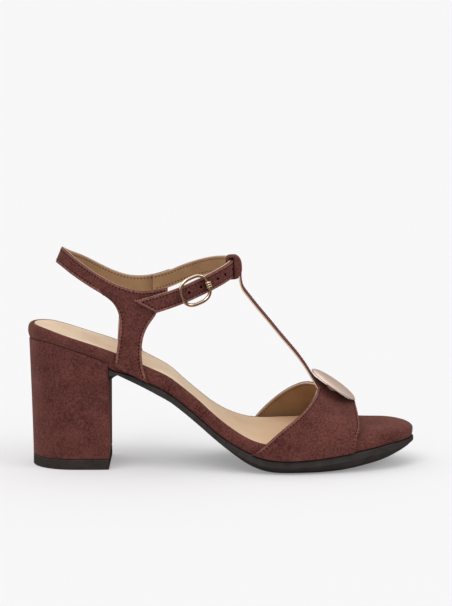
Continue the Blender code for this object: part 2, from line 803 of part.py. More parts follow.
def make_button(finish, group):
    """The domed button, tilted down to the toe, on a short shank that stands on the vamp."""
    radius = BUTTON_WIDTH / 2
    tilt = math.radians(BUTTON_TILT)
    axis = Vector((math.sin(tilt), 0.0, math.cos(tilt)))
    place = Vector((BUTTON_REACH, 0.0, crown(BUTTON_REACH) + BUTTON_LIFT))
    drop = shank_drop(place, axis)
    outline = [(POLE, -drop), (SHANK_WIDTH / 2, -drop), (SHANK_WIDTH / 2, 0.0), (radius - BUTTON_EDGE, 0.0)]
    outline += [(radius, BUTTON_EDGE), (radius, BUTTON_RIM)]
    for step in range(1, DOME_STEPS + 1):
        angle = math.pi / 2 * step / DOME_STEPS
        outline.append((radius * math.cos(angle) + POLE, BUTTON_RIM + BUTTON_DOME * math.sin(angle)))
    shape = bmesh.new()
    verts = [shape.verts.new((across, 0.0, up)) for across, up in outline]
    edges = [shape.edges.new(pair) for pair in zip(verts, verts[1:])]
    bmesh.ops.spin(
        shape,
        geom=verts + edges,
        axis=(0, 0, 1),
        cent=(0, 0, 0),
        angle=2 * math.pi,
        steps=ROUND_STEPS,
        use_merge=True,
    )
    turn = Vector((0, 0, 1)).rotation_difference(axis).to_matrix().to_4x4()
    bmesh.ops.transform(shape, matrix=turn, verts=shape.verts)
    bmesh.ops.translate(shape, vec=place, verts=shape.verts)
    return piece("button", shape, finish, group)


def main():
    clear_scene()
    shoe = collection("t_strap_sandal")
    cutters = collection("cutters")
    suede = material("suede", (0.13, 0.055, 0.045), 0.92)
    cream = material("sock_leather", (0.78, 0.60, 0.42), 0.6)
    rubber = material("outsole_rubber", (0.05, 0.042, 0.04), 0.7)
    dark = material("top_piece_rubber", (0.025, 0.016, 0.014), 0.55)
    gold = material("rose_gold", (0.80, 0.58, 0.46), 0.15, 1.0)
    satin = material("champagne_satin", (0.74, 0.57, 0.47), 0.35, 1.0)
    make_heel(suede, shoe)
    make_top_piece(dark, shoe)
    make_outsole(rubber, shoe)
    make_footbed(suede, shoe)
    make_sock(cream, shoe)
    make_vamp(suede, shoe, cutters)
    make_quarters(suede, shoe)
    make_ankle_strap(suede, shoe)
    make_buckle(gold, shoe)
    make_prong(gold, shoe)
    make_button(satin, shoe)


main()
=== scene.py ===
"""Looks of the T-strap sandal: suede, leather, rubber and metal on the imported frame.

Lengths are millimetres inside the classes and become metres when a piece's mesh is made. +X points
to the toe, +Y to the inner side of the foot and +Z up, as in the frame.
"""

from __future__ import annotations

import logging
import math
from collections.abc import Callable
from dataclasses import dataclass
from enum import Enum
from typing import NamedTuple

import bmesh
import bpy
from mathutils import Matrix, Vector
from mathutils.bvhtree import BVHTree
from mathutils.kdtree import KDTree

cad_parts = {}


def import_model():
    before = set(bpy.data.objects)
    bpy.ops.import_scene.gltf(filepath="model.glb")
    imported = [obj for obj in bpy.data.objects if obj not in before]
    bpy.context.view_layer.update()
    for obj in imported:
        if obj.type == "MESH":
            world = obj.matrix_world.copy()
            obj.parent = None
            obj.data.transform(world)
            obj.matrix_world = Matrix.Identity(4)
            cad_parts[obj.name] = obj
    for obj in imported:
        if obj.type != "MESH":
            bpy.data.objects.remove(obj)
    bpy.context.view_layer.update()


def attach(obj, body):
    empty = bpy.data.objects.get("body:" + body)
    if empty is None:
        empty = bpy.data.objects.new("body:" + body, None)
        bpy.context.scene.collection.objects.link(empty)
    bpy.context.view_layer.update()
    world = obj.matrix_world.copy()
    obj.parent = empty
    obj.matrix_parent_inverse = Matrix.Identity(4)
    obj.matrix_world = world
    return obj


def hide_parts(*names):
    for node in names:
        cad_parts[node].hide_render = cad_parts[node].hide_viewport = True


LOG = logging.getLogger("sandal")
MM = 0.001
MERGE = 0.004
SOLE_LENGTH = 229.3
HEEL_BACK = 25.6
COLLAR_HEIGHT = 130.0
RING_CENTRE = 0.3079
RING_REACH = 0.2268

Point = Callable[[Vector], float]
Colour = tuple[float, float, float]
Feed = bpy.types.NodeSocket | float | tuple[float, ...]


class Side(Enum):
    """The two sides of the shoe, as signs of Y."""

    OUTER = -1
    INNER = 1


class Slot(Enum):
    """The record's material slots."""

    SUEDE = "suede"
    SOCK = "sock_leather"
    OUTSOLE = "outsole_rubber"
    TOP_PIECE = "top_piece_rubber"
    GOLD = "rose_gold"
    SATIN = "champagne_satin"


class Station(NamedTuple):
    """One station of the sole, as shares of the last's sizes.

    Attributes:
        along: Where it is, from the back to the toe.
        rise: Share of the seat's rise.
        lift: Share of the toe's lift.
        depth: The outsole's depth.
        thick: The footbed's thickness on the outer side.
        tip: How much thicker the footbed is on the inner side.
        seat: Share of the seat's width.
        waist: Share of the waist's width.
        ball: Share of the ball's width.
        swing: How far the middle line swings to the inner side.
    """

    along: float
    rise: float
    lift: float
    depth: float
    thick: float
    tip: float
    seat: float
    waist: float
    ball: float
    swing: float


class Crown(NamedTuple):
    """A point of the instep's top line."""

    along: float
    up: float


class Rib(NamedTuple):
    """A line of the vamp from its rear edge to its front edge.

    Attributes:
        low: Share of the way from the hem to the footbed's top.
        up: Share of the way from there to the instep's top line.
        outer: Share of the outer side's half width.
        inner: Share of the inner side's half width.
        rear_outer: Where the outer side's rear edge is.
        rear_inner: Where the inner side's rear edge is.
        front: Where the front edge is.
    """

    low: float
    up: float
    outer: float
    inner: float
    rear_outer: float
    rear_inner: float
    front: float


class Collar(NamedTuple):
    """The collar's top edge at a turn from the middle of the back."""

    turn: float
    outer: float
    inner: float


class Leg(NamedTuple):
    """The two edges of a quarter's leg at a share of its drop."""

    down: float
    rear: float
    front: float


class Strap(NamedTuple):
    """The ankle strap's top edge and lap at a turn from the middle of the back."""

    turn: float
    top: float
    lap: float


class Rim(NamedTuple):
    """A level of an edge's section: inset, share of height and depth of the sock's recess."""

    inset: float
    level: float
    recess: float


ACROSS = (-1.0, -0.5, 0.0, 0.5, 1.0)
SOCK_TOP = ((2.2, 0.06), (3.0, -0.12), (3.8, 0.08), (6.0, 0.10))
UNDER_EDGE = ((1.0, 0.0), (0.70, 0.06), (0.45, 0.22), (0.25, 0.45), (0.10, 0.72), (0.02, 0.90))
WELT_EDGE = ((-1.0, 0.5), (-0.8, 0.92), (0.0, 1.0), (2.25, 1.001))
BAR_TOP = ((-1.0, -0.35), (-0.92, 0.25), (-0.6, 0.78), (0.0, 1.0), (0.45, 0.9), (0.85, 0.35))
BAR_UNDER = ((1.0, -0.2), (0.8, -0.75), (0.3, -0.95), (-0.5, -0.95), (-0.9, -0.7))
SOLE = (
    Station(0.000, 1.000, 0.00, 0.64, 1.05, 0.00, 1.00, 0.00, 0.00, 0.000),
    Station(0.050, 0.993, 0.00, 0.64, 0.88, 0.00, 1.00, 0.00, 0.00, 0.000),
    Station(0.090, 0.963, 0.00, 0.62, 0.79, 0.00, 1.00, 0.00, 0.00, 0.000),
    Station(0.130, 0.919, 0.00, 0.60, 0.79, 0.00, 1.00, 0.00, 0.00, -0.002),
    Station(0.170, 0.871, 0.00, 0.57, 0.82, 0.02, 0.97, 0.03, 0.00, -0.004),
    Station(0.220, 0.799, 0.00, 0.53, 0.90, 0.10, 0.60, 0.44, 0.00, -0.006),
    Station(0.265, 0.722, 0.00, 0.50, 1.00, 0.16, 0.25, 0.80, 0.00, -0.009),
    Station(0.310, 0.640, 0.00, 0.51, 1.08, 0.16, 0.04, 0.98, 0.00, -0.010),
    Station(0.365, 0.543, 0.00, 0.54, 1.16, 0.02, 0.00, 1.00, 0.01, -0.011),
    Station(0.405, 0.443, 0.00, 0.60, 1.18, -0.18, 0.00, 0.93, 0.07, -0.010),
    Station(0.445, 0.334, 0.00, 0.64, 1.20, -0.30, 0.00, 0.80, 0.20, -0.006),
    Station(0.480, 0.237, 0.00, 0.70, 1.15, -0.28, 0.00, 0.62, 0.38, -0.001),
    Station(0.520, 0.143, 0.00, 0.84, 1.08, -0.14, 0.00, 0.42, 0.58, 0.005),
    Station(0.565, 0.066, 0.00, 1.06, 0.97, 0.10, 0.00, 0.20, 0.80, 0.010),
    Station(0.600, 0.021, 0.00, 1.26, 0.98, 0.32, 0.00, 0.08, 0.92, 0.010),
    Station(0.635, 0.003, 0.00, 1.16, 0.99, 0.46, 0.00, 0.00, 0.99, 0.003),
    Station(0.670, 0.000, 0.00, 1.13, 1.02, 0.50, 0.00, 0.00, 1.00, -0.006),
    Station(0.720, 0.000, 0.06, 1.20, 1.08, 0.44, 0.00, 0.00, 0.98, -0.005),
    Station(0.765, 0.000, 0.17, 1.28, 1.12, 0.32, 0.00, 0.00, 0.95, 0.003),
    Station(0.830, 0.000, 0.41, 1.36, 1.16, 0.13, 0.00, 0.00, 0.89, 0.015),
    Station(0.890, 0.000, 0.66, 1.31, 1.19, 0.02, 0.00, 0.00, 0.83, 0.022),
    Station(0.940, 0.000, 0.88, 1.22, 1.12, 0.00, 0.00, 0.00, 0.80, 0.025),
    Station(1.000, 0.000, 1.00, 0.62, 1.05, 0.00, 0.00, 0.00, 0.77, 0.027),
)
CROWN = (
    Crown(0.540, 1.065),
    Crown(0.5565, 1.000),
    Crown(0.587, 0.916),
    Crown(0.626, 0.798),
    Crown(0.679, 0.637),
    Crown(0.705, 0.564),
    Crown(0.734, 0.480),
    Crown(0.763, 0.417),
    Crown(0.798, 0.372),
    Crown(0.833, 0.351),
    Crown(0.862, 0.344),
)
RIBS = (
    Rib(0.0, 0.000, 1.000, 1.000, 0.5780, 0.5700, 0.8410),
    Rib(0.5, 0.000, 1.000, 1.000, 0.5950, 0.5800, 0.8445),
    Rib(1.0, 0.000, 0.998, 1.000, 0.6110, 0.5915, 0.8480),
    Rib(1.0, 0.170, 0.955, 0.970, 0.6545, 0.6305, 0.8520),
    Rib(1.0, 0.345, 0.875, 0.905, 0.6940, 0.6655, 0.8550),
    Rib(1.0, 0.500, 0.765, 0.810, 0.7155, 0.6915, 0.8550),
    Rib(1.0, 0.690, 0.590, 0.640, 0.7330, 0.7170, 0.8530),
    Rib(1.0, 0.850, 0.390, 0.430, 0.7460, 0.7350, 0.8510),
)
THROAT = Crown(0.752, 0.965)
T_PATH = (
    Crown(0.7445, 0.470),
    Crown(0.7364, 0.502),
    Crown(0.7232, 0.550),
    Crown(0.7080, 0.596),
    Crown(0.6926, 0.639),
    Crown(0.6730, 0.688),
    Crown(0.6534, 0.737),
    Crown(0.6252, 0.813),
    Crown(0.5968, 0.884),
    Crown(0.5752, 0.944),
    Crown(0.5600, 0.983),
    Crown(0.5547, 1.012),
    Crown(0.5528, 1.045),
    Crown(0.5522, 1.080),
)
COLLAR = (
    Collar(0.0, 1.000, 1.000),
    Collar(12.0, 0.998, 0.990),
    Collar(22.0, 0.988, 0.974),
    Collar(32.0, 0.965, 0.959),
    Collar(42.0, 0.938, 0.939),
    Collar(54.0, 0.899, 0.903),
    Collar(66.0, 0.861, 0.866),
    Collar(76.0, 0.836, 0.844),
    Collar(85.0, 0.822, 0.839),
    Collar(94.0, 0.824, 0.847),
    Collar(102.0, 0.836, 0.864),
    Collar(105.0, 0.839, 0.872),
)
BAND_TURNS = (0.0, 8.0, 16.0, 24.0, 32.0, 40.0, 48.0, 56.0, 64.0, 70.0, 76.0, 82.0, 88.0, 93.0, 98.0)
LEG_FIRST = 7
LEGS = (
    Leg(0.00, 0.1773, 0.3393),
    Leg(0.07, 0.2000, 0.3390),
    Leg(0.15, 0.2205, 0.3330),
    Leg(0.26, 0.2355, 0.3140),
    Leg(0.40, 0.2426, 0.3015),
    Leg(0.55, 0.2408, 0.2970),
    Leg(0.72, 0.2362, 0.2978),
    Leg(0.87, 0.2316, 0.3045),
    Leg(1.00, 0.2292, 0.3140),
)
STRAP = (
    Strap(93.0, 0.845, -0.83),
    Strap(104.0, 0.867, -0.83),
    Strap(115.0, 0.897, -0.45),
    Strap(126.0, 0.920, 0.0),
    Strap(138.0, 0.937, 0.0),
    Strap(150.0, 0.945, 0.0),
    Strap(165.0, 0.948, 0.0),
    Strap(180.0, 0.946, 0.0),
    Strap(195.0, 0.937, 0.0),
    Strap(210.0, 0.917, 0.0),
    Strap(222.0, 0.896, 0.2),
    Strap(234.0, 0.871, 0.5),
    Strap(245.0, 0.845, 0.9),
    Strap(256.0, 0.820, 1.0),
    Strap(266.0, 0.799, 1.0),
    Strap(277.0, 0.777, 1.0),
)


def read(rows: tuple[NamedTuple, ...], column: str, place: float) -> float:
    """Read one column of a table on a smooth curve.

    Args:
        rows: The table, sorted by its first column.
        column: The name of the column to read.
        place: Where to read it, in the first column's terms.

    Returns:
        The column's value there.
    """
    places = [row[0] for row in rows]
    values = [getattr(row, column) for row in rows]
    place = min(max(place, places[0]), places[-1])
    right = next((i for i in range(1, len(rows)) if places[i] >= place), len(rows) - 1)
    left = right - 1
    span = places[right] - places[left]
    share = (place - places[left]) / span

    def slope(i: int) -> float:
        """Rise of the column per unit of place."""
        before, after = max(i - 1, 0), min(i + 1, len(rows) - 1)
        return (values[after] - values[before]) / (places[after] - places[before])

    square, cube = share * share, share**3
    return (
        values[left] * (2 * cube - 3 * square + 1)
        + slope(left) * span * (cube - 2 * square + share)
        + values[right] * (3 * square - 2 * cube)
        + slope(right) * span * (cube - square)
    )


class Grain(NamedTuple):
    """A layer of noise.

    Attributes:
        scale: Its scale per metre.
        detail: How many finer layers it has.
        rough: How strong they are.
        low: What becomes 0 where it is stretched.
        high: What becomes 1 where it is stretched.
    """

    scale: float
    detail: float = 3.0
    rough: float = 0.55
    low: float = 0.0
    high: float = 1.0


def clamp(value: float) -> float:
    """A number kept between 0 and 1."""
    return min(max(value, 0.0), 1.0)


def ease(share: float) -> float:
    """A share between 0 and 1 that leaves and arrives softly."""
    return share * share * (3 - 2 * share)


def bulge(value: float, power: float) -> float:
    """A number raised to a power with its sign kept, which squares or slims an oval."""
    return math.copysign(abs(value) ** power, value)


@dataclass(frozen=True)
class Last:
    """The form that the sole and the upper are built on."""

    length: float = SOLE_LENGTH
    back: float = HEEL_BACK
    seat_width: float = 54.0
    waist_width: float = 45.0
    ball_width: float = 82.0
    toe_round: float = 44.0
    ball_edge: float = 8.3
    seat_rise: float = 68.1
    toe_lift: float = 8.0
    toe_start: float = 0.80
    toe_ramp: float = 0.12
    footbed: float = 8.6
    gap: float = 0.3
    wall: float = 1.6
    strap_top: float = COLLAR_HEIGHT * 0.823
    breast: float = 23.0

    def along(self, share: float) -> float:
        """X of a share of the sole's length."""
        return share * self.length - self.back

    def share_at(self, x: float) -> float:
        """Share of the sole's length at an X."""
        return (x + self.back) / self.length

    def seat(self, x: float) -> float:
        """Height of the footbed's underside.

        Args:
            x: How far along.

        Returns:
            The height.
        """
        share = self.share_at(x)
        lift = self.toe_lift * read(SOLE, "lift", share)
        return self.ball_edge + self.seat_rise * read(SOLE, "rise", share) + lift

    def bed(self, x: float, y: float) -> float:
        """Height of the footbed's top, which tips towards the inner side.

        Args:
            x: How far along.
            y: How far across.

        Returns:
            The height.
        """
        share = self.share_at(x)
        across = 0.5 + (y - self.middle(x)) / max(2 * self.half_width(x), 1.0)
        tip = read(SOLE, "tip", share) * clamp(across)
        return self.seat(x) + self.footbed * (read(SOLE, "thick", share) + tip)

    def middle(self, x: float) -> float:
        """Y of the sole's middle line."""
        return self.ball_width * read(SOLE, "swing", self.share_at(x))

    def half_width(self, x: float) -> float:
        """Half the footbed's width, with its round heel and toe.

        Args:
            x: How far along.

        Returns:
            The half width.
        """
        share = self.share_at(x)
        width = (
            self.seat_width * read(SOLE, "seat", share)
            + self.waist_width * read(SOLE, "waist", share)
            + self.ball_width * read(SOLE, "ball", share)
        )
        heel = clamp(share * self.length / (self.seat_width / 2))
        toe = clamp((1.0 - share) * self.length / self.toe_round)
        return width / 2 * math.sqrt(heel * (2 - heel)) * math.sqrt(toe * (2 - toe))

    def crown(self, x: float) -> float:
        """Height of the instep's top line."""
        return self.strap_top * read(CROWN, "up", self.share_at(x))

    def hem(self, x: float) -> float:
        """Where the upper ends, just above the outsole."""
        return self.seat(x) + self.gap

    def outline(
        self,
        inset: float,
        first: float | None = None,
        last: float | None = None,
        steps: int = 110,
        toe_softness: float = 0.0,
    ) -> list[Vector]:
        """The sole's outline, moved inwards.

        Args:
            inset: How far it is moved inwards.
            first: X of a straight rear end, or None for the round one.
            last: X of a straight front end, or None for the round one.
            steps: How many steps each side has.
            toe_softness: How many times wider the inset gets at the toe.

        Returns:
            The outer side from back to toe, then the inner side back again, in plan.
        """
        start = self.along(0.0) if first is None else first
        end = self.along(1.0) if last is None else last
        rear_hub = self.along(0.0) + self.seat_width / 2 if first is None else start
        front_hub = self.along(1.0) - self.toe_round if last is None else end
        sides: dict[Side, list[Vector]] = {Side.OUTER: [], Side.INNER: []}
        for i in range(steps + 1):
            share = i / steps
            if first is None and last is None:
                share = (1 - math.cos(math.pi * share)) / 2
            elif first is None:
                share = 1 - math.cos(math.pi * share / 2)
            elif last is None:
                share = math.sin(math.pi * share / 2)
            x = start + (end - start) * share
            hub_x = min(max(x, rear_hub), front_hub)
            hub = Vector((hub_x, self.middle(hub_x)))
            toe = clamp((self.share_at(x) - self.toe_start) / self.toe_ramp)
            drawn = inset * (1 + toe_softness * ease(toe))
            for side, points in sides.items():
                ray = Vector((x, self.middle(x) + side.value * self.half_width(x))) - hub
                points.append(hub + ray * max(0.0, 1 - drawn / max(ray.length, 0.001)))
        return sides[Side.OUTER] + sides[Side.INNER][::-1]


@dataclass(frozen=True)
class Ankle:
    """The ring that the collar and the ankle strap follow, and their edges."""

    centre: float = SOLE_LENGTH * RING_CENTRE - HEEL_BACK
    half_length: float = SOLE_LENGTH * RING_REACH
    half_width: float = 27.0
    height: float = COLLAR_HEIGHT
    band: float = 9.0
    back_set_in: float = 1.6
    back_lean: float = 0.42
    strap_width: float = 10.6
    strap_wall: float = 2.0
    gap: float = 0.3

    def ring(self, turn: float, out: float = 0.0) -> tuple[Vector, Vector]:
        """A point of the ring in plan and its outward direction.

        Args:
            turn: Degrees from the middle of the back, over the inner side.
            out: How far outside the ring.

        Returns:
            The point and the direction.
        """
        angle = math.radians(turn)
        x = self.centre - self.half_length * math.cos(angle)
        place = Vector((x, self.half_width * math.sin(angle)))
        outward = Vector((-self.half_width * math.cos(angle), self.half_length * math.sin(angle)))
        outward.normalize()
        return place + outward * out, outward

    def collar(self, turn: float, down: float, side: Side) -> Vector:
        """A point of the back strap's outer face.

        Args:
            turn: Degrees from the middle of the back, without a sign.
            down: Share of the band's height.
            side: The side of the shoe.

        Returns:
            The point.
        """
        top = self.height * read(COLLAR, side.name.lower(), turn)
        place, _ = self.ring(side.value * turn)
        back = max(0.0, math.cos(math.radians(turn)))
        x = place.x + (self.back_set_in - self.back_lean * self.band * down) * back
        return Vector((x, place.y, top - self.band * down))

    def strap(self, turn: float, down: float, out: float = 0.0) -> tuple[Vector, Vector]:
        """A point of the ankle strap's outer face and its outward direction.

        Args:
            turn: Degrees from the middle of the back.
            down: Share of the strap's width.
            out: How far outside the face.

        Returns:
            The point and the direction.
        """
        lap = (self.strap_wall + self.gap) * read(STRAP, "lap", turn)
        place, outward = self.ring(turn, lap + out)
        z = self.height * read(STRAP, "top", turn) - self.strap_width * down
        return Vector((place.x, place.y, z)), outward


LAST = Last()
ANKLE = Ankle()


class Tree:
    """A node tree, with short ways to add to it."""

    def __init__(self, tree: bpy.types.NodeTree) -> None:
        """Keep the tree."""
        self.tree = tree

    def add(self, kind: str, **sockets: Feed) -> bpy.types.Node:
        """Add a node and set or link its sockets.

        Args:
            kind: The node's type.
            sockets: Values or output sockets by the input's name, with _ for a space.

        Returns:
            The node.
        """
        node = self.tree.nodes.new(kind)
        for name, value in sockets.items():
            self.feed(node.inputs[name.replace("_", " ")], value)
        return node

    def feed(self, socket: bpy.types.NodeSocket, value: Feed) -> None:
        """Link an output to a socket, or set the socket.

        Args:
            socket: The input.
            value: What it gets.
        """
        if isinstance(value, bpy.types.NodeSocket):
            self.tree.links.new(value, socket)
        else:
            socket.default_value = value

    def ramp(self, factor: bpy.types.NodeSocket, low: float, high: float) -> bpy.types.NodeSocket:
        """A factor stretched from low..high to 0..1.

        Args:
            factor: The factor.
            low: What becomes 0.
            high: What becomes 1.

        Returns:
            The stretched factor.
        """
        node = self.add("ShaderNodeMapRange", Value=factor)
        node.inputs["From Min"].default_value = low
        node.inputs["From Max"].default_value = high
        return node.outputs["Result"]

    def mix(self, factor: Feed, first: Feed, second: Feed) -> bpy.types.NodeSocket:
        """Two colours mixed by a factor.

        Args:
            factor: How much of the second one there is.
            first: The first colour.
            second: The second colour.

        Returns:
            The colour.
        """
        node = self.tree.nodes.new("ShaderNodeMix")
        node.data_type = "RGBA"
        self.feed(node.inputs["Factor"], factor)
        for name, value in (("A", first), ("B", second)):
            target = next(socket for socket in node.inputs if socket.name == name and socket.type == "RGBA")
            self.feed(target, (*value, 1.0) if isinstance(value, tuple) else value)
        return next(socket for socket in node.outputs if socket.type == "RGBA")

    def join(self, operation: str, first: Feed, second: Feed) -> bpy.types.NodeSocket:
        """Two numbers joined into one.

        Args:
            operation: The Math node's operation.
            first: The first number.
            second: The second number.

        Returns:
            The number.
        """
        node = self.tree.nodes.new("ShaderNodeMath")
        node.operation = operation
        self.feed(node.inputs[0], first)
        self.feed(node.inputs[1], second)
        return node.outputs["Value"]

    def plus(self, first: Feed, second: Feed) -> bpy.types.NodeSocket:
        """The sum of two numbers."""
        return self.join("ADD", first, second)

    def times(self, first: Feed, second: Feed) -> bpy.types.NodeSocket:
        """The product of two numbers."""
        return self.join("MULTIPLY", first, second)


class Nodes(Tree):
    """The node tree of one new Principled material."""

    def __init__(self, name: str) -> None:
        """Start the material.

        Args:
            name: The material's name.
        """
        self.material = bpy.data.materials.new(name)
        self.material.use_nodes = True
        super().__init__(self.material.node_tree)
        self.shader = self.tree.nodes["Principled BSDF"]
        self.place = self.add("ShaderNodeTexCoord").outputs["Object"]

    def noise(self, grain: Grain) -> bpy.types.NodeSocket:
        """Noise on the piece's own place.

        Args:
            grain: The layer of noise.

        Returns:
            The noise, not stretched.
        """
        node = self.add("ShaderNodeTexNoise", Vector=self.place, Scale=grain.scale)
        node.inputs["Detail"].default_value = grain.detail
        node.inputs["Roughness"].default_value = grain.rough
        return node.outputs["Fac"]

    def stretched(self, grain: Grain) -> bpy.types.NodeSocket:
        """Noise on the piece's own place, stretched to 0..1."""
        return self.ramp(self.noise(grain), grain.low, grain.high)

    def cells(self, scale: float) -> bpy.types.NodeSocket:
        """Distance to the nearest grain cell, of a scale per metre."""
        return self.add("ShaderNodeTexVoronoi", Vector=self.place, Scale=scale).outputs["Distance"]

    def layer(self, name: str) -> bpy.types.NodeSocket:
        """A number that the piece's mesh carries at each point.

        Args:
            name: The mesh's layer.

        Returns:
            The number.
        """
        node = self.tree.nodes.new("ShaderNodeAttribute")
        node.attribute_name = name
        return node.outputs["Fac"]

    def bump(self, height: bpy.types.NodeSocket, depth_mm: float, strength: float = 1.0) -> None:
        """Raise the surface by a height between 0 and 1.

        Args:
            height: The height.
            depth_mm: How much a height of 1 raises it.
            strength: How strongly it shows.
        """
        node = self.add("ShaderNodeBump", Height=height, Strength=strength, Distance=depth_mm * MM)
        self.tree.links.new(node.outputs["Normal"], self.shader.inputs["Normal"])

    def set(self, **sockets: Feed) -> None:
        """Set or link the shader's sockets, with _ for a space."""
        for name, value in sockets.items():
            self.feed(self.shader.inputs[name.replace("_", " ")], value)


@dataclass(frozen=True)
class Suede:
    """Brown-mauve napped suede, with a painted highlight along its turned edges and painted shade in its
    stitch grooves.
    """

    name: str = "suede"
    shade: Colour = (0.048, 0.0150, 0.0140)
    light: Colour = (0.172, 0.0610, 0.0505)
    # Painted highlight: the lighter colour along the turned edges, where light catches the rolled fold.
    edge_highlight: Colour = (0.360, 0.165, 0.135)
    # Painted shade: the darker colour in the stitch grooves.
    groove_shade: Colour = (0.035, 0.011, 0.010)
    brushed: Grain = Grain(75.0, 4.0, 0.6, 0.32, 0.68)
    brushed_share: float = 0.38
    fleck: Grain = Grain(850.0, 3.0, 0.7, 0.36, 0.64)
    fleck_share: float = 0.62
    edge_highlight_share: float = 0.5
    groove_shade_share: float = 0.08
    nap: Grain = Grain(2300.0, 2.0, 0.6)
    nap_depth: float = 0.36
    nap_strength: float = 0.8
    fleck_height: float = 0.4
    edge_low: float = -0.5
    edge_high: float = 0.8
    roughness: float = 0.95
    sheen: float = 0.16
    sheen_roughness: float = 0.4
    sheen_tint: Colour = (0.95, 0.62, 0.54)

    def material(self) -> bpy.types.Material:
        """Make the material.

        Returns:
            The material.
        """
        nodes = Nodes(self.name)
        brushed, fleck = nodes.stretched(self.brushed), nodes.stretched(self.fleck)
        both = nodes.plus(nodes.times(brushed, self.brushed_share), nodes.times(fleck, self.fleck_share))
        colour = nodes.mix(both, self.shade, self.light)
        # Painted highlight along the turned edges, broken up by the fleck.
        edge = nodes.times(nodes.layer("painted_edge_highlight"), nodes.ramp(fleck, self.edge_low, self.edge_high))
        colour = nodes.mix(nodes.times(edge, self.edge_highlight_share), colour, self.edge_highlight)
        # Painted shade in the stitch grooves.
        colour = nodes.mix(nodes.times(nodes.layer("groove_shade"), self.groove_shade_share), colour, self.groove_shade)
        nap = nodes.noise(self.nap)
        nodes.bump(nodes.plus(nodes.times(fleck, self.fleck_height), nap), self.nap_depth, self.nap_strength)
        nodes.set(Base_Color=colour, Roughness=self.roughness, Specular_IOR_Level=0.0)
        nodes.set(Sheen_Weight=self.sheen, Sheen_Roughness=self.sheen_roughness)
        nodes.set(Sheen_Tint=(*self.sheen_tint, 1.0))
        return nodes.material


@dataclass(frozen=True)
class Leather:
    """Smooth lining or sock leather with a fine grain. Its default colours are the leather darkened as
    painted shade inside the shoe; the sock's is painted browner and darker towards the ball, as shade under
    the vamp.
    """

    name: str = "lining_leather_painted_shade"
    # The lining's colours: the leather darkened, as painted shade inside the shoe.
    shade: Colour = (0.25, 0.135, 0.062)
    light: Colour = (0.34, 0.195, 0.098)
    edge: Colour = (0.66, 0.48, 0.36)
    mottle: Grain = Grain(60.0, 5.0, 0.6, 0.30, 0.70)
    grain: float = 1500.0
    pores: Grain = Grain(700.0)
    pores_height: float = 0.5
    grain_depth: float = 0.06
    grain_strength: float = 0.7
    roughness: float = 0.55
    gloss: float = 0.35
    # Painted shade: a browner, darker colour towards the front, where the sock goes under the vamp.
    worn_and_shaded: Colour | None = None
    vamp_shade_from: float = 0.075
    vamp_shade_to: float = 0.135

    def material(self) -> bpy.types.Material:
        """Make the material.

        Returns:
            The material.
        """
        nodes = Nodes(self.name)
        colour = nodes.mix(nodes.stretched(self.mottle), self.shade, self.light)
        # Painted shade under the vamp, darker towards the front.
        if self.worn_and_shaded:
            ahead = nodes.add("ShaderNodeSeparateXYZ", Vector=nodes.place).outputs["X"]
            colour = nodes.mix(nodes.ramp(ahead, self.vamp_shade_from, self.vamp_shade_to), colour, self.worn_and_shaded)
        colour = nodes.mix(nodes.layer("cut_edge"), colour, self.edge)
        grain = nodes.plus(nodes.cells(self.grain), nodes.times(nodes.noise(self.pores), self.pores_height))
        nodes.bump(grain, self.grain_depth, self.grain_strength)
        nodes.set(Base_Color=colour, Roughness=self.roughness, Specular_IOR_Level=self.gloss)
        return nodes.material


@dataclass(frozen=True)
class Rubber:
    """Moulded rubber with a fine texture and a tread of small ribs underneath."""

    name: str = "outsole_rubber"
    shade: Colour = (0.024, 0.019, 0.018)
    light: Colour = (0.046, 0.038, 0.035)
    dust: Grain = Grain(120.0, 6.0, 0.65, 0.35, 0.75)
    texture: Grain = Grain(1100.0)
    texture_height: float = 0.25
    tread: float = 260.0
    tread_depth: float = 0.5
    tread_strength: float = 0.8
    tread_from: float = -0.80
    tread_to: float = -0.95
    roughness: float = 0.62
    gloss: float = 0.4

    def material(self) -> bpy.types.Material:
        """Make the material.

        Returns:
            The material.
        """
        nodes = Nodes(self.name)
        colour = nodes.mix(nodes.stretched(self.dust), self.shade, self.light)
        ribs = nodes.add("ShaderNodeTexWave", Vector=nodes.place, Scale=self.tread, Distortion=0.0)
        ribs.wave_profile = "TRI"
        normal = nodes.tree.nodes.new("ShaderNodeNewGeometry").outputs["Normal"]
        facing = nodes.add("ShaderNodeSeparateXYZ", Vector=normal)
        under = nodes.ramp(facing.outputs["Z"], self.tread_from, self.tread_to)
        tread = nodes.times(ribs.outputs["Fac"], under)
        height = nodes.plus(nodes.times(nodes.noise(self.texture), self.texture_height), tread)
        nodes.bump(height, self.tread_depth, self.tread_strength)
        nodes.set(Base_Color=colour, Roughness=self.roughness, Specular_IOR_Level=self.gloss)
        return nodes.material


@dataclass(frozen=True)
class Metal:
    """Plated or lacquered metal, polished or satin, with faint handling marks."""

    name: str = "rose_gold"
    colour: Colour = (0.86, 0.66, 0.50)
    dull: Colour = (0.70, 0.50, 0.36)
    polish: float = 0.08
    # Roughness where the metal's handling marks are worn.
    worn_and_shaded: float = 0.22
    marks: Grain = Grain(900.0, 5.0, 0.65, 0.35, 0.75)
    depth: float = 0.01
    strength: float = 0.4
    metallic: float = 1.0

    def material(self) -> bpy.types.Material:
        """Make the material.

        Returns:
            The material.
        """
        nodes = Nodes(self.name)
        marks = nodes.stretched(self.marks)
        nodes.set(Base_Color=nodes.mix(marks, self.colour, self.dull), Metallic=self.metallic)
        rough = nodes.add("ShaderNodeMapRange", Value=marks)
        rough.inputs["To Min"].default_value = self.polish
        rough.inputs["To Max"].default_value = self.worn_and_shaded
        nodes.set(Roughness=rough.outputs["Result"])
        nodes.bump(nodes.noise(Grain(self.marks.scale * 2)), self.depth, self.strength)
        return nodes.material


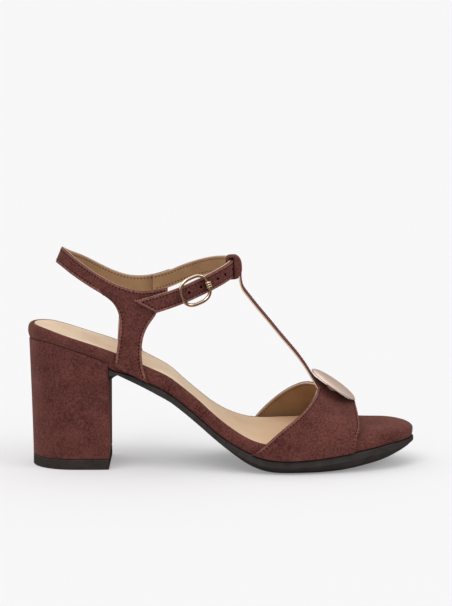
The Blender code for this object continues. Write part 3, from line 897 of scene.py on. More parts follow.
@dataclass(frozen=True)
class ThreadAndHoleShade:
    """Twisted sewing thread, nearly black, partly as painted shade of its stitch holes; the same near-black
    paints shade on the walls and floors of the strap's holes.
    """

    name: str = "thread_and_hole_shade"
    # Near-black: the thread's dark colour with painted shade of its holes.
    shade: Colour = (0.008, 0.003, 0.003)
    light: Colour = (0.020, 0.007, 0.006)
    twist: Grain = Grain(2600.0, 1.0)
    twist_depth: float = 0.05
    twist_strength: float = 0.6
    roughness: float = 0.8
    gloss: float = 0.05

    def material(self) -> bpy.types.Material:
        """Make the material.

        Returns:
            The material.
        """
        nodes = Nodes(self.name)
        twist = nodes.noise(self.twist)
        nodes.bump(twist, self.twist_depth, self.twist_strength)
        colour = nodes.mix(twist, self.shade, self.light)
        nodes.set(Base_Color=colour, Roughness=self.roughness, Specular_IOR_Level=self.gloss)
        return nodes.material


class Finishes:
    """The shoe's finishes, made once and shared by its pieces."""

    def __init__(self) -> None:
        """Make every material."""
        self.suede = Suede().material()
        # The lining, in leather darkened as painted shade.
        self.lining = Leather().material()
        self.sock = Leather(
            name="sock_leather",
            shade=(0.66, 0.49, 0.34),
            light=(0.78, 0.61, 0.44),
            roughness=0.5,
            # Painted shade towards the front, under the vamp.
            worn_and_shaded=(0.60, 0.38, 0.22),
        ).material()
        self.rubber = Rubber().material()
        self.top_piece = Rubber(
            name="top_piece_rubber",
            shade=(0.020, 0.014, 0.012),
            light=(0.040, 0.029, 0.025),
        ).material()
        self.gold = Metal().material()
        self.satin = Metal(
            name="champagne_satin",
            colour=(0.80, 0.61, 0.52),
            dull=(0.72, 0.54, 0.45),
            polish=0.28,
            worn_and_shaded=0.38,
            marks=Grain(500.0, 5.0, 0.65, 0.35, 0.75),
            metallic=0.35,
        ).material()
        self.thread_and_hole_shade = ThreadAndHoleShade().material()


def lay(
    shape: bmesh.types.BMesh,
    rings: list[list[Vector]],
    closed: bool = False,
) -> list[list[bmesh.types.BMVert]]:
    """Lay a grid over rows of points.

    Args:
        shape: The bmesh to add it to.
        rings: Rows of points, all of the same count.
        closed: Whether each row joins its own start.

    Returns:
        The grid's vertices by row and column.
    """
    count = len(rings[0])
    across = count if closed else count - 1
    up = len(rings) - 1
    made = bmesh.ops.create_grid(shape, x_segments=across, y_segments=up, size=0.5)["verts"]
    table = [[None] * count for _ in rings]
    for vert in made:
        column = round((vert.co.x + 0.5) * across)
        row = round((vert.co.y + 0.5) * up)
        vert.co = rings[row][column % count]
        if column < count:
            table[row][column] = vert
    return table


def cap(shape: bmesh.types.BMesh, row: list[bmesh.types.BMVert]) -> None:
    """Close a ring with strips from its outer half to its inner half.

    Args:
        shape: The bmesh.
        row: The ring, up one side and back down the other.
    """
    half = len(row) // 2
    edges = []
    for chain in (row[:half], row[half:]):
        edges += [shape.edges.get(pair) for pair in zip(chain, chain[1:])]
    bmesh.ops.bridge_loops(shape, edges=edges)


def rounded(shape: bmesh.types.BMesh, levels: int) -> bmesh.types.BMesh:
    """Round a sheet with a subdivision surface.

    Args:
        shape: The cage, which is used up.
        levels: The levels.

    Returns:
        The dense sheet.
    """
    mesh = bpy.data.meshes.new("cage")
    shape.to_mesh(mesh)
    shape.free()
    cage = bpy.data.objects.new("cage", mesh)
    bpy.context.scene.collection.objects.link(cage)
    surface = cage.modifiers.new("Round", "SUBSURF")
    surface.levels = levels
    surface.render_levels = levels
    surface.boundary_smooth = "PRESERVE_CORNERS"
    dense = bmesh.new()
    dense.from_object(cage, bpy.context.evaluated_depsgraph_get())
    bpy.data.objects.remove(cage, do_unlink=True)
    return dense


@dataclass(frozen=True)
class Piece:
    """How a finished piece is named, dressed and tied to the frame."""

    name: str
    slot: Slot
    material: bpy.types.Material
    nodes: tuple[str, ...] = ()
    wall: float = 0.0
    edge: float = 0.0
    smooth_deg: float = 40.0
    edge_deg: float = 50.0

    def make(self, shape: bmesh.types.BMesh) -> bpy.types.Object:
        """Turn a bmesh in millimetres into the finished object.

        Args:
            shape: The bmesh, which is used up.

        Returns:
            The object.
        """
        bmesh.ops.scale(shape, vec=(MM, MM, MM), verts=shape.verts)
        mesh = bpy.data.meshes.new(self.name)
        shape.to_mesh(mesh)
        shape.free()
        mesh.materials.append(self.material)
        mesh.shade_smooth()
        mesh.set_sharp_from_angle(angle=math.radians(self.smooth_deg))
        made = bpy.data.objects.new(self.name, mesh)
        bpy.context.scene.collection.objects.link(made)
        if self.wall:
            wall = made.modifiers.new("Wall", "SOLIDIFY")
            wall.thickness = self.wall * MM
            wall.offset = -1.0
        if self.edge:
            rim = made.modifiers.new("Edge", "BEVEL")
            rim.width = self.edge * MM
            rim.segments = 2
            rim.limit_method = "ANGLE"
            rim.angle_limit = math.radians(self.edge_deg)
            rim.use_clamp_overlap = True
        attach(made, "root")
        if self.nodes:
            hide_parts(*self.nodes)
        LOG.info("%s: %d faces", self.name, len(mesh.polygons))
        return made


def closed(shape: bmesh.types.BMesh) -> bmesh.types.BMesh:
    """Merge a closed shape's seams and turn its faces outwards.

    Args:
        shape: The shape.

    Returns:
        The same shape.
    """
    bmesh.ops.remove_doubles(shape, verts=shape.verts, dist=MERGE)
    bmesh.ops.dissolve_degenerate(shape, dist=MERGE, edges=shape.edges)
    bmesh.ops.recalc_face_normals(shape, faces=shape.faces)
    return shape


@dataclass(frozen=True)
class Seam:
    """A turned edge with its row of stitches."""

    inset: float = 1.8
    pitch: float = 2.1
    groove: float = 0.16
    groove_width: float = 0.38
    roll: float = 0.18
    roll_width: float = 0.9
    cut_width: float = 0.45
    # How the painted edge highlight fades in towards the stitches and at the very edge.
    edge_highlight_fade: float = 0.5
    edge_highlight_start: float = 0.4
    lining_set_back: float = 0.3
    thread_long: float = 0.60
    thread_wide: float = 0.52
    thread_sunk: float = 0.34
    corner_share: float = 0.8
    suede_edge: float = 0.25
    lining_edge: float = 0.12


class Sheet:
    """One open sheet of the upper: where its edges are sewn, its suede, lining and stitches."""

    def __init__(
        self,
        shape: bmesh.types.BMesh,
        heart: Callable[[Vector], Vector],
        sewn: Point,
        seam: Seam,
    ) -> None:
        """Measure a dense sheet.

        Args:
            shape: The sheet in millimetres, at its outer face.
            heart: A place inside the shoe for each point, to tell which way is out.
            sewn: How far in from each edge point its stitches run, or 0 for a bare edge.
            seam: The turned edge.
        """
        bmesh.ops.remove_doubles(shape, verts=shape.verts, dist=MERGE)
        bmesh.ops.recalc_face_normals(shape, faces=shape.faces)
        middles = [(face.normal, face.calc_center_median()) for face in shape.faces]
        facing = sum(normal.dot(middle - heart(middle)) for normal, middle in middles)
        if facing < 0:
            bmesh.ops.reverse_faces(shape, faces=shape.faces)
        shape.normal_update()
        self.shape = shape
        self.sewn = sewn
        self.seam = seam
        self.tree = BVHTree.FromBMesh(shape)
        self.border = [vert for vert in shape.verts if vert.is_boundary]
        self.near = KDTree(len(self.border))
        for index, vert in enumerate(self.border):
            self.near.insert(vert.co, index)
        self.near.balance()

    def edge_distance(self, point: Vector) -> tuple[float, float]:
        """Distance from the nearest edge.

        Args:
            point: A point of the sheet.

        Returns:
            The distance, and the inset of the stitches there, 0 on a bare edge.
        """
        _, index, distance = self.near.find(point)
        vert = self.border[index]
        for edge in vert.link_edges:
            if edge.is_boundary:
                run = edge.other_vert(vert).co - vert.co
                share = clamp((point - vert.co).dot(run) / max(run.length_squared, 1e-9))
                distance = min(distance, (point - vert.co - run * share).length)
        return distance, self.sewn(vert.co)

    def layered(self, outer: bool) -> bmesh.types.BMesh:
        """A copy of the sheet with its edge layers, which paint a highlight along the turned edges and shade
        in the stitch grooves and mark the cut edges, and its grooves and rolled edges pressed in.

        Args:
            outer: Whether it is the suede face, which has the grooves.

        Returns:
            The copy.
        """
        copy = self.shape.copy()
        copy.verts.ensure_lookup_table()
        # Painted highlight along the turned edges.
        edge_highlight = copy.verts.layers.float.new("painted_edge_highlight")
        # Painted shade in the stitch grooves.
        groove_shade = copy.verts.layers.float.new("groove_shade")
        cut = copy.verts.layers.float.new("cut_edge")
        seam = self.seam
        moves = []
        for vert in copy.verts:
            distance, inset = self.edge_distance(vert.co)
            vert[cut] = math.exp(-((distance / seam.cut_width) ** 2)) if inset else 0.0
            sink = seam.roll * max(0.0, 1 - distance / seam.roll_width) ** 2
            if inset:
                groove = math.exp(-(((distance - inset) / seam.groove_width) ** 2))
                # Painted shade in the stitch groove.
                vert[groove_shade] = groove
                # Painted highlight between the edge and the stitches.
                band = clamp((inset - distance) / seam.edge_highlight_fade + 0.5)
                vert[edge_highlight] = band * (1 - groove) * min(1.0, distance / seam.edge_highlight_start)
                sink += seam.groove * groove
            moves.append((vert, vert.normal * -sink))
        if outer:
            for vert, move in moves:
                vert.co += move
        copy.normal_update()
        return copy

    def lining(self, suede: float) -> bmesh.types.BMesh:
        """The lining's outer face, behind the suede.

        Args:
            suede: The suede's thickness.

        Returns:
            The sheet.
        """
        copy = self.layered(outer=False)
        moves = []
        for vert in copy.verts:
            move = vert.normal * -suede
            if vert.is_boundary:
                inside = [edge.other_vert(vert) for edge in vert.link_edges if not edge.is_boundary]
                if inside:
                    move += (inside[0].co - vert.co) * self.seam.lining_set_back
            moves.append((vert, move))
        for vert, move in moves:
            vert.co += move
        return copy

    def runs(self) -> list[list[bmesh.types.BMVert]]:
        """Follow the sewn edges.

        Returns:
            Their vertices in order, one list for each run.
        """
        sewn = {vert for vert in self.border if self.sewn(vert.co)}
        edges = [e for e in self.shape.edges if e.is_boundary and e.verts[0] in sewn and e.verts[1] in sewn]
        links: dict[bmesh.types.BMVert, list[bmesh.types.BMVert]] = {}
        for edge in edges:
            links.setdefault(edge.verts[0], []).append(edge.verts[1])
            links.setdefault(edge.verts[1], []).append(edge.verts[0])
        found, used = [], set()
        for start in sorted(links, key=lambda vert: (len(links[vert]), vert.index)):
            if start in used:
                continue
            run = [start]
            used.add(start)
            while True:
                step = next((vert for vert in links[run[-1]] if vert not in used), None)
                if step is None:
                    break
                run.append(step)
                used.add(step)
            found.append(run)
        return found

    def stitches(self, wall: float) -> bmesh.types.BMesh:
        """The rows of stitches along the sewn edges, seen on both faces.

        Args:
            wall: The whole wall's thickness.

        Returns:
            The stitches.
        """
        seam = self.seam
        sewing = bmesh.new()
        for run in self.runs():
            travelled, due = 0.0, seam.pitch * 0.5
            for first, second in zip(run, run[1:]):
                length = (second.co - first.co).length
                while due <= travelled + length:
                    share = (due - travelled) / max(length, 1e-6)
                    place = first.co.lerp(second.co, share)
                    self.stitch(sewing, place, (second.co - first.co).normalized(), first, wall)
                    due += seam.pitch
                travelled += length
        return sewing

    def stitch(
        self, sewing: bmesh.types.BMesh, place: Vector, run: Vector, vert: bmesh.types.BMVert, wall: float
    ) -> None:
        """Add one stitch, on the outer and the inner face.

        Args:
            sewing: The bmesh of the stitches.
            place: The point of the edge beside it.
            run: The edge's direction.
            vert: The nearest edge vertex.
            wall: The whole wall's thickness.
        """
        seam = self.seam
        inwards = vert.normal.cross(run).normalized()
        middles = [face.calc_center_median() for face in vert.link_faces]
        middle = sum(middles, Vector()) / len(middles)
        if inwards.dot(middle - vert.co) < 0:
            inwards = -inwards
        found, normal, _, _ = self.tree.find_nearest(place + inwards * self.sewn(vert.co))
        if found is None:
            return
        distance, inset = self.edge_distance(found)
        if distance < inset * seam.corner_share:
            return
        run = (run - normal * run.dot(normal)).normalized()
        across = normal.cross(run).normalized()
        rows = (run * seam.thread_long, across * seam.thread_wide, normal * seam.thread_wide)
        axes = Matrix(rows).transposed()
        for depth in (seam.thread_sunk, wall - seam.thread_sunk):
            matrix = Matrix.Translation(found - normal * depth) @ axes.to_4x4()
            bmesh.ops.create_uvsphere(sewing, u_segments=6, v_segments=5, radius=1.0, matrix=matrix)

    def make(self, name: str, finishes: Finishes, suede: float, wall: float) -> bpy.types.Object:
        """Make the sheet's suede, lining and stitches.

        Args:
            name: The node that they replace, which their names start with.
            finishes: The finishes.
            suede: The suede's thickness.
            wall: The whole wall's thickness.

        Returns:
            The suede.
        """
        nodes, seam = (name,), self.seam
        outside = Piece(f"{name}_suede", Slot.SUEDE, finishes.suede, nodes, suede, seam.suede_edge)
        inside = Piece(f"{name}_lining", Slot.SOCK, finishes.lining, nodes, wall - suede, seam.lining_edge)
        made = outside.make(self.layered(outer=True))
        inside.make(self.lining(suede))
        Piece(f"{name}_stitches", Slot.SUEDE, finishes.thread_and_hole_shade, nodes).make(self.stitches(wall))
        return made


@dataclass
class Sole:
    """Footbed, sock, outsole, heel and top piece."""

    finishes: Finishes
    rim: float = 3.2
    toe_softness: float = 3.0
    sock: float = 1.0
    sock_gap: float = 0.45
    sock_share: float = 0.766
    sock_roll: float = 0.5
    sock_roll_width: float = 0.55
    rim_steps: int = 12
    roll_steps: int = 5
    rim_fullness: float = 0.8
    rim_wall: float = 0.3
    sock_inset: float = 0.6
    cover_edge: float = 0.7
    tread_round: float = 0.4
    tread_rise: float = 0.35
    seam_round: float = 0.25
    seam_edge: float = 0.3
    sock_ramp: float = SOLE_LENGTH * 0.035
    sidewall: float = 3.9
    under_edge: float = 9.0
    outsole_depth: float = 7.6
    welt: float = 0.4
    belly_reach: float = 9.0
    tuck_depth: float = 3.2
    tuck_length: float = 16.0
    tuck_lead: float = 1.0
    tuck_share: float = 0.3
    tip_start: float = 0.93
    tip_thin: float = 0.45
    flap_drop: float = 7.0
    flap_length: float = 3.4
    heel_length: float = 46.0
    heel_width: float = 49.0
    heel_set_in: float = 0.6
    heel_ease: float = 1.3
    top_piece: float = 6.0
    heel_rows: int = 30
    cover_round: float = 0.5
    cover_hem: float = 0.006

    def build(self) -> None:
        """Make every piece of the sole."""
        self.make_footbed()
        self.make_sock()
        self.make_outsole()
        self.make_heel()
        self.make_top_piece()

    def sock_end(self) -> float:
        """X of the sock's front end, under the vamp."""
        return LAST.along(self.sock_share)

    def recess(self, x: float) -> float:
        """How deep the footbed is let in for the sock."""
        ramp = clamp((x - self.sock_end()) / self.sock_ramp)
        return (self.sock + self.sock_gap) * (1 - ease(ramp))

    def tuck(self, x: float) -> float:
        """How far the footbed's wrap reaches down past the outsole's start.

        Args:
            x: How far along.

        Returns:
            The reach.
        """
        start = LAST.breast + LAST.gap
        if x < start - self.tuck_lead:
            return 0.0
        return self.tuck_depth * (1 - ease(clamp((x - start) / self.tuck_length)))

    def make_footbed(self) -> None:
        """The suede-wrapped footbed with its round rim."""
        rim = self.rim
        section = [Rim(rim * 2.0, 0.0, 0.0), Rim(rim * 1.0, 0.0, 0.0)]
        for step in range(self.rim_steps + 1):
            turn = math.pi * step / self.rim_steps
            width = rim * (0.5 if step < self.rim_steps // 2 else 1.0)
            drawn_in = width * (1 - math.sin(turn) ** self.rim_fullness)
            section.append(Rim(drawn_in, 0.5 - 0.5 * math.cos(turn), 0.0))
        section += [Rim(inset, 1.0, 1.0) for inset in (rim + self.rim_wall, rim * 2.5, rim * 4)]
        rings = []
        for level in section:
            ring = []
            softness = self.toe_softness if level.level > 0.5 else 0.0
            for point in LAST.outline(level.inset, toe_softness=softness):
                seat, bed = LAST.seat(point.x), LAST.bed(point.x, point.y)
                foot = seat - self.tuck(point.x)
                z = foot + (bed - foot) * level.level - level.recess * self.recess(point.x)
                ring.append(Vector((point.x, point.y, z)))
            rings.append(ring)
        shape = bmesh.new()
        table = lay(shape, rings, closed=True)
        cap(shape, table[0])
        cap(shape, table[-1])
        Piece("footbed_wrap", Slot.SUEDE, self.finishes.suede, ("footbed",)).make(closed(shape))

    def make_sock(self) -> None:
        """The sock, let in with a rolled edge and a soft cushion."""
        inset = self.rim + self.sock_inset
        section = [(inset + 1.0, -self.sock), (inset + 0.1, -self.sock), (inset, -self.sock * 0.6)]
        for step in range(self.roll_steps + 1):
            turn = math.pi / 2 * step / self.roll_steps
            rolled = inset + self.sock_roll_width * (1 - math.cos(turn))
            section.append((rolled, -self.sock_roll * (1 - math.sin(turn))))
        section += [(inset + distance, lift) for distance, lift in SOCK_TOP]
        rings = []
        for distance, lift in section:
            points = LAST.outline(distance, last=self.sock_end() - LAST.gap)
            rings.append([Vector((p.x, p.y, LAST.bed(p.x, p.y) + lift)) for p in points])
        shape = bmesh.new()
        table = lay(shape, rings, closed=True)
        cap(shape, table[0])
        cap(shape, table[-1])
        Piece("sock", Slot.SOCK, self.finishes.sock, ("insole_sock",)).make(closed(shape))

    def belly(self, x: float) -> float:
        """Height of the outsole's underside, with its flap on the heel's breast.

        Args:
            x: How far along.

        Returns:
            The height.
        """
        places = [x + self.belly_reach * share for share in ACROSS]
        depths = [self.outsole_depth * read(SOLE, "depth", LAST.share_at(place)) for place in places]
        heights = [max(0.0, LAST.seat(place) - depth) for place, depth in zip(places, depths)]
        flap = max(0.0, 1.0 - (x - LAST.breast - LAST.gap) / self.flap_length)
        return sum(heights) / len(heights) - self.flap_drop * math.sqrt(flap)

    def top(self, x: float) -> float:
        """Height of the outsole's upper face."""
        return LAST.seat(x) - LAST.gap - self.tuck(x)

    def side(self, x: float) -> float:
        """Height of the outsole's side wall, which thins at the toe's tip."""
        tip = clamp((LAST.share_at(x) - self.tip_start) / (1.0 - self.tip_start))
        return self.sidewall * (1.0 - self.tip_thin * tip) - self.tuck(x) * self.tuck_share

    def make_outsole(self) -> None:
        """The outsole with its rounded lower edge."""
        start = LAST.breast + LAST.gap
        lower = [(self.under_edge * inset, share) for inset, share in UNDER_EDGE] + [(-self.welt, 1.0)]
        upper = [(self.welt * inset, share) for inset, share in WELT_EDGE]
        rings = []
        for inset, share in lower:
            ring = []
            for p in LAST.outline(inset, first=start):
                belly = self.belly(p.x)
                foot = max(belly, self.top(p.x) - self.side(p.x))
                ring.append(Vector((p.x, p.y, belly + (foot - belly) * share)))
            rings.append(ring)
        for inset, share in upper:
            ring = []
            for p in LAST.outline(inset, first=start):
                top = self.top(p.x)
                foot = max(self.belly(p.x), top - self.side(p.x))
                ring.append(Vector((p.x, p.y, foot + (top - foot) * share)))
            rings.append(ring)
        shape = bmesh.new()
        table = lay(shape, rings, closed=True)
        cap(shape, table[0])
        cap(shape, table[-1])
        Piece("outsole_rubber", Slot.OUTSOLE, self.finishes.rubber, ("outsole",)).make(closed(shape))

    def heel_ring(self, share: float, flat: float | None = None, inset: float = 0.0) -> list[Vector]:
        """One level of the heel.

        Args:
            share: Share of the heel's height.
            flat: The level's height where it is flat, else it follows the seat.
            inset: How far the level is drawn in all round.

        Returns:
            The ring.
        """
        top_back, top_half = LAST.back - self.heel_set_in, LAST.seat_width / 2 - self.heel_set_in
        grown = share**self.heel_ease
        back = (self.heel_length / 2 + (top_back - self.heel_length / 2) * grown) / top_back
        wide = (self.heel_width / 2 + (top_half - self.heel_width / 2) * grown) / top_half
        foot = self.top_piece + LAST.gap
        ring = []
        for point in LAST.outline(self.heel_set_in + inset, last=LAST.breast - inset):
            top = LAST.seat(point.x) - LAST.gap
            z = foot + (top - foot) * share if flat is None else flat
            ring.append(Vector((point.x * back if point.x < 0 else point.x, point.y * wide, z)))
        return ring

    def make_heel(self) -> None:
        """The covered block heel, its edges softened by the cover."""
        rings = [self.heel_ring(0.0, inset=self.cover_round)]
        for row in range(self.heel_rows + 1):
            rings.append(self.heel_ring(self.cover_hem + (1 - 2 * self.cover_hem) * row / self.heel_rows))
        rings.append(self.heel_ring(1.0, inset=self.cover_round))
        shape = bmesh.new()
        table = lay(shape, rings, closed=True)
        cap(shape, table[0])
        cap(shape, table[-1])
        finish = self.finishes.suede
        Piece("heel_cover", Slot.SUEDE, finish, ("heel",), edge=self.cover_edge).make(closed(shape))

    def make_top_piece(self) -> None:
        """The rubber top piece under the heel."""
        rings = [
            self.heel_ring(0.0, 0.0, self.tread_round),
            self.heel_ring(0.0, self.tread_rise),
            self.heel_ring(0.0, self.top_piece - self.seam_round),
            self.heel_ring(0.0, self.top_piece, self.seam_round),
        ]
        shape = bmesh.new()
        table = lay(shape, rings, closed=True)
        cap(shape, table[0])
        cap(shape, table[-1])
        nodes = ("heel_top_piece",)
        piece = Piece("top_piece", Slot.TOP_PIECE, self.finishes.top_piece, nodes, edge=self.seam_edge)
        piece.make(closed(shape))


@dataclass
class Vamp:
    """The forefoot band with its T-strap and folded loop."""

    finishes: Finishes
    rows: int = 8
    front: float = 0.849
    throat_width: float = 13.6
    throat_fall: float = 0.27
    strap_width: float = 11.0
    strap_crown: float = 0.4
    tip_fade: int = 4
    suede: float = 0.85
    strap_edge: float = 0.5
    bare_hem: float = 3.5
    front_edge: float = 2.5
    front_inset: float = 1.2
    stitch_inset: float = 1.8
    button_gap: float = 2.0
    lift_first: float = 140.0
    lift_ramp: float = 5.0
    lift_fall: float = 0.8
    lift_top: float = 60.0
    loop_reach: float = SOLE_LENGTH * (RING_CENTRE + RING_REACH) - HEEL_BACK - 0.3
    loop_height: float = 117.7
    loop_wall: float = 1.1
    loop_half_depth: float = 3.7
    loop_half_height: float = 5.9
    loop_wider: float = 0.2
    loop_front_depth: float = 0.8
    loop_squareness: float = 5.0
    loop_front_squareness: float = 2.2
    loop_edge_across: float = 0.25
    loop_edge_through: float = 0.45
    loop_tilt: float = 3.0
    levels: int = 3

    def build(self) -> None:
        """Make the vamp's suede, lining, stitches and loop."""
        sheet = Sheet(rounded(self.cage(), self.levels), self.heart, self.sewn, Seam())
        sheet.make("vamp", self.finishes, self.suede, LAST.wall)
        self.make_loop()

    def heart(self, point: Vector) -> Vector:
        """A place inside the foot beside a point of the vamp."""
        return Vector((point.x, LAST.middle(point.x), LAST.seat(point.x)))

    def sewn(self, point: Vector) -> float:
        """How far in the stitches run beside an edge point.

        Args:
            point: The edge point.

        Returns:
            The inset, or 0 at the hem.
        """
        on_strap = abs(point.y) < self.throat_width / 2 + self.strap_edge
        if not on_strap and point.z < LAST.hem(point.x) + self.bare_hem:
            return 0.0
        if point.x > LAST.along(self.front) - self.front_edge:
            return self.front_inset
        return self.stitch_inset

    def point(self, rib: Rib, side: Side, x: float) -> Vector:
        """A point of the vamp's outer face.

        Args:
            rib: The rib that it is on.
            side: The side of the shoe.
            x: How far along.

        Returns:
            The point.
        """
        out = rib.outer if side is Side.OUTER else rib.inner
        y = LAST.middle(x) + side.value * out * (LAST.half_width(x) + LAST.gap + LAST.wall)
        low_bed = LAST.bed(x, LAST.middle(x) - LAST.half_width(x))
        height = LAST.hem(x) + (low_bed - LAST.hem(x)) * rib.low
        tip = (LAST.bed(x, y) - low_bed) * rib.low * (1 - rib.up) ** self.tip_fade
        return Vector((x, y, height + (LAST.crown(x) - height) * rib.up + tip))

    def rib_column(self, rib: Rib, side: Side) -> list[Vector]:
        """A rib's points.

        Args:
            rib: The rib.
            side: The side of the shoe.

        Returns:
            The points from the rear edge to the front edge.
        """
        rear = LAST.along(rib.rear_outer if side is Side.OUTER else rib.rear_inner)
        front = LAST.along(rib.front)
        places = [rear + (front - rear) * row / self.rows for row in range(self.rows + 1)]
        return [self.point(rib, side, x) for x in places]

    def throat_column(self, across: float) -> list[Vector]:
        """The vamp's points in front of the throat.

        Args:
            across: Share of half the throat's width.

        Returns:
            The points from the throat to the front edge.
        """
        rear, front = LAST.along(THROAT.along), LAST.along(self.front)
        column = []
        for row in range(self.rows + 1):
            x = rear + (front - rear) * row / self.rows
            fall = (1 - THROAT.up) * abs(across) * (LAST.crown(x) - LAST.bed(x, 0.0))
            z = LAST.crown(x) - fall
            column.append(Vector((x, across * self.throat_width / 2, z + self.lift(x, z, across))))
        return column

    def lift(self, x: float, z: float, across: float) -> float:
        """How far the vamp's middle rises to carry the button.

        Args:
            x: How far along.
            z: The height without it.
            across: Share of half the throat's width.

        Returns:
            The rise.
        """
        button = Button(self.finishes)
        under = button.under(x) - self.button_gap
        near = clamp((x - self.lift_first) / self.lift_ramp)
        return max(0.0, under - z) * near * (1 - self.lift_fall * abs(across) ** 2)

    def strap_column(self, across: float) -> list[Vector]:
        """The T-strap's points.

        Args:
            across: Share of half the strap's width.

        Returns:
            The points from the throat up.
        """
        column = [self.throat_column(across)[0]]
        for i, step in enumerate(T_PATH):
            flare = self.throat_fall ** (i + 1)
            width = self.strap_width + (self.throat_width - self.strap_width) * flare
            x = LAST.along(step.along)
            z = LAST.strap_top * step.up - self.strap_crown * abs(across)
            z += self.lift(x, z, across) if z < self.lift_top else 0.0
            column.append(Vector((x, across * width / 2, z)))
        return column

    def cage(self) -> bmesh.types.BMesh:
        """The vamp and T-strap as one open sheet of few faces.

        Returns:
            The sheet.
        """
        shape = bmesh.new()
        columns = [self.rib_column(rib, Side.OUTER) for rib in RIBS]
        columns += [self.throat_column(share) for share in ACROSS]
        columns += [self.rib_column(rib, Side.INNER) for rib in RIBS[::-1]]
        lay(shape, columns)
        lay(shape, [self.strap_column(share) for share in ACROSS])
        bmesh.ops.remove_doubles(shape, verts=shape.verts, dist=MERGE)
        return shape

    def oval(self, depth: tuple[float, float], half_height: float, front: float, turn: float) -> Vector:
        """A point of the loop's squared oval, seen from the side.

        Args:
            depth: How far it reaches to the rear and to the front.
            half_height: Half its height.
            front: How square its front is.
            turn: The turn of the point.

        Returns:
            The point, from the oval's middle.
        """
        cos, sin = math.cos(turn), math.sin(turn)
        power = 2.0 / (front if cos > 0 else self.loop_squareness)
        x = depth[1 if cos > 0 else 0] * bulge(cos, power)
        return Vector((x, 0.0, half_height * bulge(sin, power)))

    def make_loop(self, steps: int = 72, section: int = 20) -> None:
        """The folded loop round the ankle strap.

        Args:
            steps: Steps round the loop.
            section: Steps round its own section.
        """
        half = self.strap_width / 2 + self.loop_wider
        tilt = Matrix.Rotation(math.radians(-self.loop_tilt), 3, "Y")
        centre = Vector((self.loop_reach, 0.0, self.loop_height))
        rings = []
        for i in range(steps):
            turn = 2 * math.pi * i / steps
            hole = (self.loop_half_depth, self.loop_front_depth)
            inner = self.oval(hole, self.loop_half_height, self.loop_squareness, turn)
            reach = self.loop_half_depth + self.loop_wall
            height = self.loop_half_height + self.loop_wall
            outer = self.oval((reach, reach), height, self.loop_front_squareness, turn)
            ring = []
            for k in range(section):
                angle = 2 * math.pi * (k + 0.5) / section
                cos, sin = math.cos(angle), math.sin(angle)
                across = half * bulge(cos, self.loop_edge_across)
                through = 0.5 + 0.5 * bulge(sin, self.loop_edge_through)
                bow = ANKLE.half_length * (1 - math.sqrt(1 - (across / ANKLE.half_width) ** 2))
                hugging = inner - Vector((bow if math.cos(turn) > 0 else 0.0, 0.0, 0.0))
                ring.append(centre + tilt @ (hugging.lerp(outer, through) + Vector((0.0, across, 0.0))))
            rings.append(ring)
        shape = bmesh.new()
        lay(shape, rings + [rings[0]], closed=True)
        Piece("strap_loop", Slot.SUEDE, self.finishes.suede, ("vamp",)).make(closed(shape))


@dataclass
class Quarters:
    """Both quarters with the back strap."""

    finishes: Finishes
    tab_turn: float = 104.5
    inner_back: float = 2.5
    suede: float = 1.0
    stitch_inset: float = 1.8
    bare_hem: float = 3.0
    pitch: float = 2.0
    levels: int = 3

    def build(self) -> None:
        """Make the quarters' suede, lining and stitches."""
        sheet = Sheet(rounded(self.cage(), self.levels), self.heart, self.sewn, Seam(pitch=self.pitch))
        sheet.make("quarters", self.finishes, self.suede, LAST.wall)

    def heart(self, point: Vector) -> Vector:
        """A place inside the ankle beside a point of the quarters."""
        return Vector((ANKLE.centre, 0.0, point.z))

    def sewn(self, point: Vector) -> float:
        """How far in the stitches run beside an edge point."""
        return 0.0 if point.z < LAST.hem(point.x) + self.bare_hem else self.stitch_inset

    def leg_point(self, turn: float, share: float, down: float, side: Side) -> Vector:
        """A point of a quarter's leg.

        Args:
            turn: Where its column starts on the band.
            share: Share of the way from the leg's rear edge to its front.
            down: Share of its drop.
            side: The side of the shoe.

        Returns:
            The point.
        """
        top = ANKLE.collar(turn, 1.0, side)
        foot_x = LAST.along(LEGS[-1].rear + (LEGS[-1].front - LEGS[-1].rear) * share)
        rear, front = read(LEGS, "rear", down), read(LEGS, "front", down)
        x = LAST.along(rear + (front - rear) * share)
        if side is Side.INNER:
            x -= self.inner_back * math.sin(math.pi * down)
        foot_y = LAST.middle(x) + side.value * (LAST.half_width(x) + LAST.gap + LAST.wall)
        y = top.y + (foot_y - top.y) * ease(down)
        return Vector((x, y, top.z + (LAST.hem(foot_x) - top.z) * down))

    def cage(self) -> bmesh.types.BMesh:
        """The band and both legs as one open sheet of few faces.

        Returns:
            The sheet.
        """
        shape = bmesh.new()
        turns = [(turn, Side.OUTER) for turn in (self.tab_turn,) + BAND_TURNS[:0:-1]]
        turns += [(0.0, Side.INNER)]
        turns += [(turn, Side.INNER) for turn in BAND_TURNS[1:] + (self.tab_turn,)]
        lay(shape, [[ANKLE.collar(turn, down, side) for down in (0.0, 0.5, 1.0)] for turn, side in turns])
        legs = BAND_TURNS[LEG_FIRST:]
        for side in Side:
            columns = []
            for i, turn in enumerate(legs):
                share = i / (len(legs) - 1)
                column = [self.leg_point(turn, share, row.down, side) for row in LEGS[1:]]
                columns.append([ANKLE.collar(turn, 1.0, side)] + column)
            lay(shape, columns)
        bmesh.ops.remove_doubles(shape, verts=shape.verts, dist=MERGE)
        return shape


